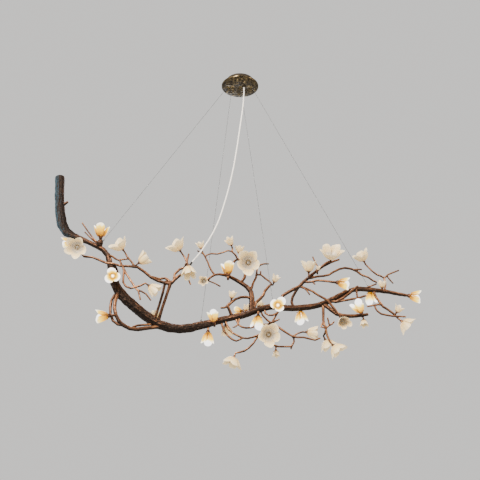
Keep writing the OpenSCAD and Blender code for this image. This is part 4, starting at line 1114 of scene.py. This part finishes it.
@dataclass(frozen=True)
class Petal:
    """One petal, cut from the wall of a cup.  Its left edge lies inside its neighbour
    and its right edge outside, as petals overlap in a real flower."""

    cup: Cup
    count: int
    notch: float  # how deep the rim falls between two petals
    spoon: float  # how far the edges draw in
    curl: float  # how far the tip turns back
    ruffle: float  # how much the rim waves
    lap: float = 1.3 * MM
    fullness: float = 1.6  # from 1, a pointed petal, to 3, a square one
    breadth: float = 1.1  # how wide a petal is, as a share of its part of the ring
    least: float = 0.88  # the shortest petal's length, as a share of the cup's
    most: float = 1.02  # and the longest one's
    tilt: float = 0.12  # how much longer one side of a petal may be than the other
    curl_from: float = 0.72  # where along the petal the tip starts to turn back
    wave: float = 60 * MM  # the rim's waves for a ruffle of 1
    columns: int = 17
    rows: int = 13

    def make(self, name: str, seed: int) -> Object:
        """Builds one petal.

        Args:
            name: The object's name.
            seed: Which of the petal's shapes this is.

        Returns:
            A closed lens of glass that reads along, across and inside.
        """
        chance = np.random.default_rng(seed)
        phase, tilt, stretch = (
            chance.uniform(*ends)
            for ends in ((0, 6.28), (-self.tilt, self.tilt), (self.least, self.most)))
        across = np.sin(np.linspace(-1, 1, self.columns) * math.pi / 2)
        along = np.sin(np.linspace(0, 1, self.rows) * math.pi / 2)
        u, v = np.meshgrid(across, along, indexing="ij")
        round_ = np.sqrt(np.clip(1 - np.abs(u) ** self.fullness, 0, 1))
        reach = ((1 - self.notch) + self.notch * round_) * stretch
        s = v * (reach * (1 + self.ruffle * np.cos(5.5 * u + phase) + tilt * u))
        angle = math.pi / self.count * self.breadth * u
        wall, out = self.cup.point(angle, s), self.outwards(angle, s)
        inward = self.spoon * u**2 * v - self.lap * u * np.clip(v * 3, 0, 1)
        tip = np.clip((s - self.curl_from) / (1 - self.curl_from), 0, 1) ** 2
        wave = self.ruffle * self.wave * np.sin(4 * u + phase) * v**2
        middle = wall - out * (self.cup.wall / 2 + inward - self.curl * tip - wave * 0.5)[..., None]
        edge = (1 - np.abs(u) ** 8) * (1 - v**14) * (1 - (1 - v) ** 16)
        half = self.cup.wall / 2 * (1.0 - 0.25 * v) * np.sqrt(np.clip(edge, 0, 1))
        outer, inner = (
            (middle + out * side[..., None]).reshape(-1, 3) for side in (half, -half))
        keep = np.zeros(u.shape, bool)
        keep[1:-1, 1:-1] = True
        front = np.arange(u.size).reshape(u.shape)
        back = front.copy()
        back[keep] = u.size + np.arange(keep.sum())
        faces = []
        for i in range(self.columns - 1):
            for j in range(self.rows - 1):
                faces.append((front[i, j], front[i + 1, j], front[i + 1, j + 1], front[i, j + 1]))
                faces.append((back[i, j], back[i, j + 1], back[i + 1, j + 1], back[i + 1, j]))
        keep = keep.reshape(-1)
        piece = mesh_object(name, np.concatenate([outer, inner[keep]]), faces)
        for label, values in (("along", s), ("across", u)):
            attribute(piece, label, np.concatenate([values.reshape(-1), values.reshape(-1)[keep]]))
        attribute(piece, "inside", np.concatenate([np.where(keep, 0.0, 0.5), np.ones(keep.sum())]))
        return piece

    def outwards(self, angle: np.ndarray, s: np.ndarray) -> np.ndarray:
        """Returns which way the cup's wall faces, at an angle and a share of the way.

        Args:
            angle: The angle round the cup, in radians.
            s: The share of the way to the rim.
        """
        step = 1e-3
        sideways = self.cup.point(angle + step, s) - self.cup.point(angle - step, s)
        upwards = self.cup.point(angle, s + step) - self.cup.point(angle, np.maximum(s - step, 1e-4))
        out = np.cross(sideways, upwards)
        return out / np.linalg.norm(out, axis=-1, keepdims=True)


@dataclass
class Blossoms:
    """All the blossoms of one kind: their petals, laid round each calyx."""

    bloom: Bloom
    petal: Petal
    lift: float  # from the calyx's foot to the glass
    material: Material
    slot: str
    node: str
    hole: float = 0.4 * MM  # the hole in the cup's floor
    shapes: int = 3
    sway: float = 0.09  # how unevenly the petals stand, in radians

    def make(self) -> None:
        """Builds the petals and hands them to the frame as one piece."""
        places, kind = PLACES[self.bloom], self.bloom.value
        shapes = [
            self.petal.make(f"{kind}_petal_{i}", 31 * i + len(places)) for i in range(self.shapes)]
        piece = beds(f"{kind}_petals", places, self.lift)
        attribute(piece, "size", np.array([p.share for p in places]))
        attribute(piece, "spin", np.radians([p.spin for p in places]))
        floor = self.throat()
        self.laid(piece, shapes, floor, len(places))
        for shape in (*shapes, floor):
            bpy.data.objects.remove(shape)
        hang(piece, "hanging", self.slot, self.node)

    def throat(self) -> Object:
        """Returns the floor of the cup, which the petals grow from."""
        seat, wall = self.petal.cup.seat, self.petal.cup.wall
        floor = lathe(f"{self.bloom.value}_throat", [
            (self.hole, 0.2 * MM), (seat, 0.2 * MM), (seat + 1.6 * MM, 1.4 * MM),
            (seat + 0.6 * MM, wall), (self.hole, wall - 0.6 * MM)], 24)
        for name, value in (("along", 0.0), ("across", 0.0), ("inside", 1.0)):
            attribute(floor, name, np.full(len(floor.data.vertices), value))
        return floor

    def laid(self, piece: Object, shapes: Sequence[Object], floor: Object, seed: int) -> None:
        """Lays a floor and a ring of petals on every point.

        Args:
            piece: The object of points, which becomes the blossoms.
            shapes: The petals to pick from.
            floor: The cup's floor.
            seed: What the petals' uneven stand is drawn from.
        """
        ring = Recipe(f"{self.bloom.value}_ring", {
            "Petals": self.petal.count, "Sway": self.sway, "Seed": seed})
        tree, given = ring.tree, ring.given
        points = add(tree, POINTS, (given["Geometry"],))
        petals = {"Geometry": points, "Amount": given["Petals"]}
        petals = add(tree, "GeometryNodeDuplicateElements", petals, domain="POINT")
        which = add(tree, "GeometryNodeInputIndex")
        minus = add(tree, MATH, (given["Sway"], -1.0), operation="MULTIPLY")
        jitter, lean = (
            add(tree, RANDOM, {2: minus, 3: given["Sway"], "ID": which, "Seed": own}, 1,
                data_type="FLOAT")
            for own in (given["Seed"], 5))
        first = add(tree, NAMED, {"Name": "spin"}, data_type="FLOAT")
        start = add(tree, MATH, (first, jitter), operation="ADD")
        step = add(tree, MATH, (math.tau, given["Petals"]), operation="DIVIDE")
        number = petals.node.outputs["Duplicate Index"]
        spin = add(tree, MATH, (number, step, start), operation="MULTIPLY_ADD")
        whole = facing(tree)
        picked = {4: 0, 5: len(shapes) - 1, "ID": which, "Seed": 2}
        kinds = [
            add(tree, "GeometryNodeGeometryToInstance", (self.of(tree, shape),)) for shape in shapes]
        laid = add(tree, INSTANCES, {
            "Points": petals, "Instance": add(tree, JOIN, (kinds,)), "Pick Instance": True,
            "Instance Index": add(tree, RANDOM, picked, 2, data_type="INT"),
            "Rotation": turned(tree, turned(tree, whole, Z=spin), Y=lean),
            "Scale": add(tree, NAMED, {"Name": "size"}, data_type="FLOAT")})
        floors = add(tree, INSTANCES, {
            "Points": points, "Instance": self.of(tree, floor), "Rotation": whole})
        ring.run(piece, add(tree, JOIN, ([laid, floors],)), self.material)

    @staticmethod
    def of(tree: NodeTree, shape: Object) -> NodeSocket:
        """Returns an object's mesh in a tree."""
        return add(tree, "GeometryNodeObjectInfo", {"Object": shape}, "Geometry")


@dataclass
class Calyxes:
    """The bronze cups that the blossoms sit in, each with pointed sepals up the glass."""

    material: Material
    sides: int = 40
    lobes: int = 5
    # Radius and height up the outside of the cup, in millimetres
    deep: Outline = ((0, 0), (6.4, 0), (7.4, 1.2), (9.7, 4.4), (10.2, 8), (10.9, 13))
    flat: Outline = ((0, 0), (4.4, 0), (5.2, 1.0), (5.9, 3.5), (6.4, 6.2), (7.0, 8.0))

    def make(self) -> None:
        """Builds the two shapes of calyx and sets one under every blossom."""
        rows = {
            self.shape("deep_calyx", self.deep, 12.2, 9.5, 4.0): PLACES[Bloom.LIT],
            self.shape("flat_calyx", self.flat, 8.6, 6.5, 3.2):
                PLACES[Bloom.LARGE] + PLACES[Bloom.MEDIUM] + PLACES[Bloom.BUD]}
        parts = []
        for shape, places in rows.items():
            laid = Recipe(f"{shape.name}_set", {"Seed": len(places)})
            tree, given = laid.tree, laid.given
            circle = {2: 0.0, 3: math.tau, "Seed": given["Seed"]}
            angle = add(tree, RANDOM, circle, 1, data_type="FLOAT")
            cups = add(tree, INSTANCES, {
                "Points": add(tree, POINTS, (given["Geometry"],)),
                "Instance": add(tree, "GeometryNodeObjectInfo", {"Object": shape}, "Geometry"),
                "Rotation": turned(tree, facing(tree), Z=angle)})
            parts.append(laid.run(beds(f"{shape.name}_bed", places), cups, self.material))
            bpy.data.objects.remove(shape)
        hang(join(parts, "calyx_sepals"), "hanging", "aged_copper", "calyx_cups")

    def shape(self, name: str, outline: Outline, mouth: float, reach: float, wall: float) -> Object:
        """Builds one calyx along +Z.

        Args:
            name: The object's name.
            outline: Radius and height up the outside, in millimetres.
            mouth: The radius at the sepals' roots, in millimetres.
            reach: How far the sepals run up the glass, in millimetres.
            wall: How thick the cup is, in millimetres.

        Returns:
            A closed cup.
        """
        turn = np.linspace(0, math.tau, self.sides, endpoint=False)
        lobe = np.abs(np.cos(turn * self.lobes / 2)) ** 1.4 * reach
        top = outline[-1][1]
        rings = [(max(r, 0.4), z) for r, z in outline]
        for share in (0.25, 0.6, 0.9, 1.0):
            out = lobe * share
            rings.append((mouth - 0.6 + out * 0.95 + 0.5 * share, top + out * 0.42))
        rings.append((mouth - 1.4 + lobe * 0.95, top + lobe * 0.42 + 0.5))
        rings += [(mouth - 1.8, top - 0.2), (0.4, top - wall)]
        piece = lathe(name, rings, self.sides, MM)
        height = read_points(piece.data)[:, 2] / (top * MM)
        attribute(piece, "grain", np.tile(np.cos(turn * 15) * 0.8, len(rings)))
        attribute(piece, "ridge", np.clip(0.35 + 0.35 * height, 0, 1))
        attribute(piece, "weather", np.zeros(len(height)))
        return piece


@dataclass
class Hearts:
    """The clear glass buttons in the hearts of the open blossoms."""

    material: Material
    lift: float = 8.4 * MM + 2.0 * MM
    radius: float = 4.6 * MM
    # Radius and height of a button, in its own radii
    outline: Outline = (
        (0.3, 0.0), (0.55, 0.02), (0.6, 0.35), (0.5, 0.7), (0.78, 1.0), (1.0, 1.45), (0.95, 1.9),
        (0.65, 2.3), (0.02, 2.45))

    def make(self) -> None:
        """Builds one button and sets it in every open blossom."""
        button = lathe("button", self.outline, 24, self.radius)
        laid = Recipe("buttons", {"Size": 1.0})
        tree, given = laid.tree, laid.given
        buttons = add(tree, INSTANCES, {
            "Points": add(tree, POINTS, (given["Geometry"],)),
            "Instance": add(tree, "GeometryNodeObjectInfo", {"Object": button}, "Geometry"),
            "Rotation": facing(tree), "Scale": given["Size"]})
        piece = beds("heart_buttons", PLACES[Bloom.LARGE] + PLACES[Bloom.MEDIUM], self.lift)
        laid.run(piece, buttons, self.material)
        bpy.data.objects.remove(button)
        hang(piece, "hanging", "frosted_glass")


# ---- canopy, ropes and cord ----


@dataclass
class Dressed:
    """A hard solid of the frame with its edges broken and its curves smooth."""

    node: str
    body: str
    slot: str
    material: Material
    edge: float = 0.25 * MM
    crease: float = 32.0

    def make(self) -> None:
        """Copies the solid, cleans it and hands the copy to the frame."""
        piece = merged_copy([self.node], f"{self.node}_finish")
        bm = bmesh.new()
        bm.from_mesh(piece.data)
        bmesh.ops.dissolve_limit(
            bm, angle_limit=math.radians(0.6), verts=bm.verts, edges=bm.edges, delimit={"NORMAL"})
        bm.to_mesh(piece.data)
        bm.free()
        if self.edge > 0:
            bevel = piece.modifiers.new("edge", "BEVEL")
            bevel.width = self.edge
            bevel.segments = 2
            bevel.limit_method = "ANGLE"
            bevel.angle_limit = math.radians(self.crease)
            bevel.use_clamp_overlap = True
            made_plain(piece)
        piece.data.polygons.foreach_set("use_smooth", [True] * len(piece.data.polygons))
        piece.data.set_sharp_from_angle(angle=math.radians(self.crease))
        paint(piece, self.material)
        hang(piece, self.body, self.slot, self.node)


@dataclass
class Canopy:
    """The ceiling canopy: a beaten disc under a plain pan, with the driver inside."""

    iron: Material
    satin: Material
    steel: Material
    brass: Material
    case: Material
    plastic: Material
    rubber: Material

    def make(self) -> None:
        """Dresses every part of the canopy; the last number is its broken edge."""
        for node, slot, material, edge in (
                ("canopy_disc", "iron", self.iron, 0.5),
                ("canopy_pan", "iron", self.satin, 0.3),
                ("ceiling_plate", "steel", self.steel, 0.2),
                ("load_posts", "steel", self.steel, 0.2),
                ("disc_screws", "iron", self.satin, 0.1),
                ("led_driver", "driver_case", self.case, 0.5),
                ("driver_screws", "steel", self.steel, 0.2),
                ("terminal_block", "terminal_plastic", self.plastic, 0.3),
                ("supply_grommet", "rubber", self.rubber, 0.2),
                ("swivel_seats", "brass", self.brass, 0.12),
                ("cord_gland", "iron", self.satin, 0.15)):
            Dressed(node, "canopy", slot, material, edge * MM).make()


@dataclass
class Suspension:
    """Four steel ropes with ball-nosed grippers above and crimped ferrules below."""

    rope: Material
    steel: Material
    brass: Material
    bronze: Material
    balls: tuple[float, ...] = (-66, -44, 2, 62)
    # Under each rope: the wood's middle in the drawing, its radius and the eye's lean
    wood: tuple[tuple[float, ...], ...] = (
        (-707, -973, -26, 13.5, 34), (-190, -1401, 14, 19.7, 0),
        (163, -1308, 2, 15, 0), (638, -1220, 14, 12, 0))
    bark: float = 1.07  # the wood's radius over its furrows
    stand: float = 2.6 * MM
    swing: float = -33 * MM
    eye: float = 5 * MM
    sleeve: float = 14 * MM
    stop: float = 2 * MM
    lay: float = 17 * MM  # length in which a strand goes round once
    helix: float = 0.62 * MM
    strand: float = 0.36 * MM
    crimps: Triple = (3.4, 6.9, 10.4)  # the middle of each crimp, in millimetres

    def make(self) -> None:
        """Builds the ropes and ferrules and dresses the grippers."""
        sleeves = []
        for number, (ball, (*middle, radius, lean)) in enumerate(zip(self.balls, self.wood), 1):
            tilt = math.radians(lean)
            up = Vector((math.sin(tilt), 0, math.cos(tilt)))
            top = Vector((ball * MM, 0, self.swing))
            low = seen(*middle) + up * (radius * self.bark * MM + self.stand)
            way, run = (low - top).normalized(), (low - top).length
            rope = self.strands(f"steel_rope_{number}", run - self.eye - self.sleeve + self.stop)
            rope.data.transform(laid_along(way, top - way * self.stop))
            hang(rope, "hanging", "steel", f"cable_{number}")
            sleeve = self.ferrule(f"ferrule_{number}")
            sleeve.data.transform(laid_along(way, top + way * (run - self.eye - self.sleeve)))
            sleeves.append(sleeve)
            Dressed(f"plunger_{number}", f"plunger_{number}", "steel", self.steel, 0.15 * MM).make()
        ferrules = join(sleeves, "crimped_ferrules")
        paint(ferrules, self.steel)
        hang(ferrules, "hanging", "steel", "cable_sleeves")
        Dressed("cable_grippers", "hanging", "brass", self.brass, 0.12 * MM, 38.0).make()
        Dressed("branch_eyes", "hanging", "aged_copper", self.bronze, 0.0, 60.0).make()

    def strands(self, name: str, length: float) -> Object:
        """Lays six strands round a core.

        Args:
            name: The object's name.
            length: The rope's length in metres.

        Returns:
            The rope along +Z from the origin.
        """
        rope = Recipe(name, {
            "Length": length, "Lay": self.lay, "Strands": 6, "Helix": self.helix,
            "Strand": self.strand})
        tree, given = rope.tree, rope.given
        turns = add(tree, MATH, (given["Length"], given["Lay"]), operation="DIVIDE")
        helix = add(tree, "GeometryNodeCurveSpiral", {
            "Resolution": 9, "Rotations": turns, "Start Radius": given["Helix"],
            "End Radius": given["Helix"], "Height": given["Length"]})
        wire = {"Resolution": 5, "Radius": given["Strand"]}
        wire = add(tree, "GeometryNodeCurvePrimitiveCircle", wire, mode="RADIUS")
        end = add(tree, COMBINE, {"Z": given["Length"]})
        line = add(tree, "GeometryNodeCurvePrimitiveLine", {"End": end})
        strand, core = (
            add(tree, SWEEP, {"Curve": curve, "Profile Curve": wire, "Fill Caps": True})
            for curve in (helix, line))
        spots = {
            "Geometry": add(tree, "GeometryNodePoints", {"Count": 1}), "Amount": given["Strands"]}
        spots = add(tree, "GeometryNodeDuplicateElements", spots, domain="POINT")
        step = add(tree, MATH, (math.tau, given["Strands"]), operation="DIVIDE")
        number = spots.node.outputs["Duplicate Index"]
        angle = add(tree, MATH, (number, step), operation="MULTIPLY")
        turn = add(tree, EULER, (add(tree, COMBINE, {"Z": angle}),))
        laid = add(tree, INSTANCES, {"Points": spots, "Instance": strand, "Rotation": turn})
        start = mesh_object(name, [(0, 0, 0)])
        return rope.run(start, add(tree, JOIN, ([laid, core],)), self.rope)

    def ferrule(self, name: str) -> Object:
        """Returns a ferrule along +Z with three crimps round it.

        Args:
            name: The object's name.
        """
        outline = [(0.9, 0.0), (2.2, 0.0), (2.5, 0.3)]
        for middle in self.crimps:
            outline += [
                (2.55, middle - 1.2), (2.05, middle - 0.6),
                (2.05, middle + 0.6), (2.55, middle + 1.2)]
        outline += [(2.5, 13.4), (2.2, 13.7), (0.9, 13.7)]
        return lathe(name, outline, 24, MM)


@dataclass
class PowerCord:
    """The white lead from the canopy to the branch, with a strain relief at each end."""

    sheath: Material
    rubber: Material
    diameter: float = 7 * MM
    top: Vector = field(default_factory=lambda: Vector((22, 0, -61)) * MM)
    lead: float = 12 * MM
    ease: float = 28 * MM  # length of the upper strain relief
    ball: float = 6.5 * MM  # radius of the ball on top of it
    boot: float = 22 * MM  # length of the lower strain relief
    foot: Triple = (-253, -1093, -28)
    up: Vector = field(default_factory=lambda: Vector((0.56, 0, 0.83)))
    route: tuple[Triple, ...] = (
        (20, -105, -3), (18, -140, -7), (14, -185, -11), (7, -240, -14), (0, -295, -17),
        (-7, -350, -20), (-14, -405, -22), (-22, -460, -24), (-30, -515, -26), (-40, -570, -28),
        (-51, -625, -30), (-63, -680, -32), (-77, -735, -34), (-92, -790, -36),
        (-109, -845, -38), (-129, -895, -40), (-151, -940, -42), (-174, -980, -42),
        (-197, -1017, -40), (-216, -1043, -36))

    def make(self) -> None:
        """Builds the lead and its strain reliefs."""
        path = self.path()
        lead = self.tube("power_lead", path)
        paint(lead, self.sheath)
        hang(lead, "hanging", "cord_sheath", "power_cord")
        tip = Matrix.Translation(self.top + Vector((0, 0, self.ease)))
        upper = self.relief("upper_relief", self.ease, 5.9, 4.1, 8)
        upper.data.transform(tip @ Matrix.Rotation(math.pi, 4, "X"))
        ball = lathe("relief_ball", [
            (max(self.ball * math.sin(t), 0.02 * MM), -self.ball * math.cos(t))
            for t in np.linspace(0, math.pi, 22)], 40)
        ball.data.transform(tip)
        whole = join([upper, ball], "ball_relief")
        paint(whole, self.sheath)
        hang(whole, "hanging", "cord_sheath", "cord_boot")
        lower = self.relief("lower_relief", self.boot, 6.7, 4.1, 6)
        lower.data.transform(laid_along(self.up, seen(*self.foot)))
        paint(lower, self.rubber)
        hang(lower, "hanging", "iron", "branch_grommet")

    def path(self) -> list[Vector]:
        """Returns the lead's middle line, from the canopy down to the branch."""
        end = seen(*self.foot) + self.up * self.boot
        start = self.top - Vector((0, 0, self.lead))
        knots = [start, *(seen(*p) for p in self.route), end + self.up * self.lead]
        last = len(knots) - 1
        line = [self.top]
        for i in range(last):
            a, b, c, d = knots[max(i - 1, 0)], knots[i], knots[i + 1], knots[min(i + 2, last)]
            for t in (0.0, 0.5):
                bend = (2 * a - 5 * b + 4 * c - d) * t * t + (3 * b - a - 3 * c + d) * t**3
                line.append(0.5 * (2 * b + (c - a) * t + bend))
        return [*line, knots[last], end]

    def tube(self, name: str, path: Sequence[Vector]) -> Object:
        """Sweeps a round sheath along a path.

        Args:
            name: The object's name.
            path: The sheath's middle line.

        Returns:
            The sheath, closed at both ends.
        """
        thing = mesh_object(name, path, edges=[(i, i + 1) for i in range(len(path) - 1)])
        sheath = Recipe(name, {"Radius": self.diameter / 2, "Sides": 16})
        tree, given = sheath.tree, sheath.given
        hoop = {"Resolution": given["Sides"], "Radius": given["Radius"]}
        swept = add(tree, SWEEP, {
            "Curve": add(tree, "GeometryNodeMeshToCurve", (given["Geometry"],)),
            "Profile Curve": add(tree, "GeometryNodeCurvePrimitiveCircle", hoop, mode="RADIUS"),
            "Fill Caps": True})
        return sheath.run(thing, swept, self.sheath)

    def relief(self, name: str, length: float, wide: float, narrow: float, ribs: int) -> Object:
        """Builds a tapered strain relief along +Z.

        Args:
            name: The object's name.
            length: Its length in metres.
            wide: Its radius at the foot, in millimetres.
            narrow: Its radius at the tip, in millimetres.
            ribs: How many ribs it has.

        Returns:
            The relief, wide end at the origin.
        """
        outline = [(3.0 * MM, 0.0)]
        for i in range(ribs):
            for share, drop in ((0.02, 0.35), (0.12, 0.0), (0.55, 0.0), (0.66, 0.55), (0.9, 0.55)):
                t = (i + share) / ribs
                outline.append(((wide + (narrow - wide) * t - drop) * MM, t * length))
        outline += [((narrow - 0.3) * MM, length), (3.0 * MM, length)]
        return lathe(name, outline, 32)


@dataclass
class Lamps:
    """Porcelain holders and the capsules that plug into them."""

    glaze: Material
    silicone: Material

    def make(self) -> None:
        """Dresses the holders and every capsule."""
        Dressed("lamp_holders", "hanging", "ceramic", self.glaze, 0.3 * MM).make()
        for number in range(1, len(PLACES[Bloom.LIT]) + 1):
            Dressed(f"led_{number}", f"led_{number}", "led_silicone", self.silicone, 0.2 * MM).make()


# ---- the room ----


@dataclass
class Room:
    """A plain pale floor far below, soft light, and the camera at the photograph's eye."""

    floor: float = -4.4
    half: float = 14
    pitch: float = 21.0
    lens: float = 49.65
    sensor: float = 36
    sky: str = "#efedea"

    def make(self) -> None:
        """Builds the floor, the sky, the lights and the camera."""
        h, z = self.half, self.floor
        slab = mesh_object("floor", [(-h, -h, z), (h, -h, z), (h, h, z), (-h, h, z)], [(0, 1, 2, 3)])
        paint(slab, PalePlaster().material())
        world = bpy.data.worlds.new("soft_room")
        world.use_nodes = True
        back = next(n for n in world.node_tree.nodes if n.type == "BACKGROUND")
        back.inputs["Color"].default_value = colour(self.sky)
        back.inputs["Strength"].default_value = 1.0
        bpy.context.scene.world = world
        self.softbox("key", (-1.6, -3.0, 0.6), (0, 0, -1.2), 2.4, 320, "#fff4e6")
        self.softbox("side", (2.8, -1.6, 0.2), (0.1, 0, -1.2), 1.8, 90, "#ffead2")
        self.softbox("back", (-0.6, 2.8, 0.4), (0, 0, -1.1), 2.2, 60, "#e8f0ff")
        self.camera()

    @staticmethod
    def softbox(name: str, place: Triple, aim: Triple, size: float, power: float, tint: str) -> None:
        """Hangs one soft light.

        Args:
            name: The light's name.
            place: Where it hangs.
            aim: The point that it faces.
            size: Its width.
            power: Its power in watts.
            tint: Its colour.
        """
        light = bpy.data.lights.new(name, "AREA")
        light.shape, light.size, light.energy, light.color = "DISK", size, power, colour(tint)[:3]
        lamp = placed(name, light)
        lamp.location = place
        lamp.rotation_mode = "QUATERNION"
        lamp.rotation_quaternion = (Vector(aim) - Vector(place)).to_track_quat("-Z", "Y")

    def camera(self) -> None:
        """Sets the camera at the photograph's eye, pitched up to the lamp."""
        data = bpy.data.cameras.new("camera")
        data.lens, data.sensor_width = self.lens, self.sensor
        data.clip_start, data.clip_end = 0.05, 60
        eye = placed("camera", data)
        eye.location = EYE
        eye.rotation_euler = (math.radians(90 + self.pitch), 0, 0)
        bpy.context.scene.camera = eye


def open_blossoms(opal: Material) -> list[Blossoms]:
    """Returns the three kinds of unlit blossom: large, medium and bud.

    Args:
        opal: The material of the unlit glass.
    """
    seat, lift = 6.6 * MM, 8.4 * MM
    rows = (
        (Bloom.LARGE, "large_blossoms", Cup(seat, 52 * MM, 52 * MM), (0.46, 4 * MM, 5 * MM), {}),
        (Bloom.MEDIUM, "medium_blossoms", Cup(seat, 39 * MM, 60.8 * MM), (0.5, 4 * MM, 3 * MM), {}),
        (Bloom.BUD, "buds", Cup(seat, 22 * MM, 34.3 * MM, 2.4 * MM), (0.45, 1.5 * MM, 3 * MM),
         {"lap": 0.7 * MM, "columns": 13, "rows": 10}))
    return [
        Blossoms(bloom, Petal(cup, 5, *bends, 0.03, **rest), lift, opal, "frosted_glass", node)
        for bloom, node, cup, bends, rest in rows]


def main() -> None:
    """Builds the room and every sub-assembly of the chandelier."""
    logging.basicConfig(level=logging.INFO, format="%(name)s: %(message)s")
    Room().make()
    bronze = AgedBronze().material()
    satin = Metal("satin_black_iron", "#463d31", "#342d25", 0.42, 0.7).material()
    steel = Metal("zinc_plated_steel", "#b4b7ba", "#8f9396", 0.36).material()
    brass = Metal("aged_brass", "#8f7c52", "#6c5c3a", 0.34).material()
    rubber = Moulded("nitrile_rubber", "#26221f", "#1a1816", 0.65).material()
    sheath = Moulded("white_pvc_sheath", "#fcfbf8", "#f3f1ec", 0.38, coat=0.15).material()
    case = Moulded("white_polycarbonate", "#e2e1dc", "#d2d0ca", 0.45).material()
    plastic = Moulded("cream_polyamide", "#eae5d8", "#d9d3c3", 0.5).material()
    glaze = Moulded("glazed_porcelain", "#e9e0cd", "#d8cdb6", 0.18, 1.54, coat=0.6).material()
    shade = Petal(
        Cup(11.2 * MM, 37 * MM, 57.7 * MM), 3, 0.62, 8 * MM, 1 * MM, 0.012, fullness=2.0,
        least=0.96, breadth=1.04)
    for part in (
            PowerCord(sheath, rubber),
            Canopy(HammeredIron().material(), satin, steel, brass, case, plastic, rubber),
            Suspension(Rope().material(), steel, brass, bronze),
            Branch(bronze),
            Calyxes(bronze),
            Lamps(glaze, FrostedSilicone().material()),
            Blossoms(
                Bloom.LIT, shade, 14 * MM, LitGlass().material(), "lit_glass", "lit_shades",
                9.6 * MM),
            *open_blossoms(CastGlass().material()),
            Hearts(ClearGlass().material())):
        part.make()


if __name__ == "__main__":
    main()
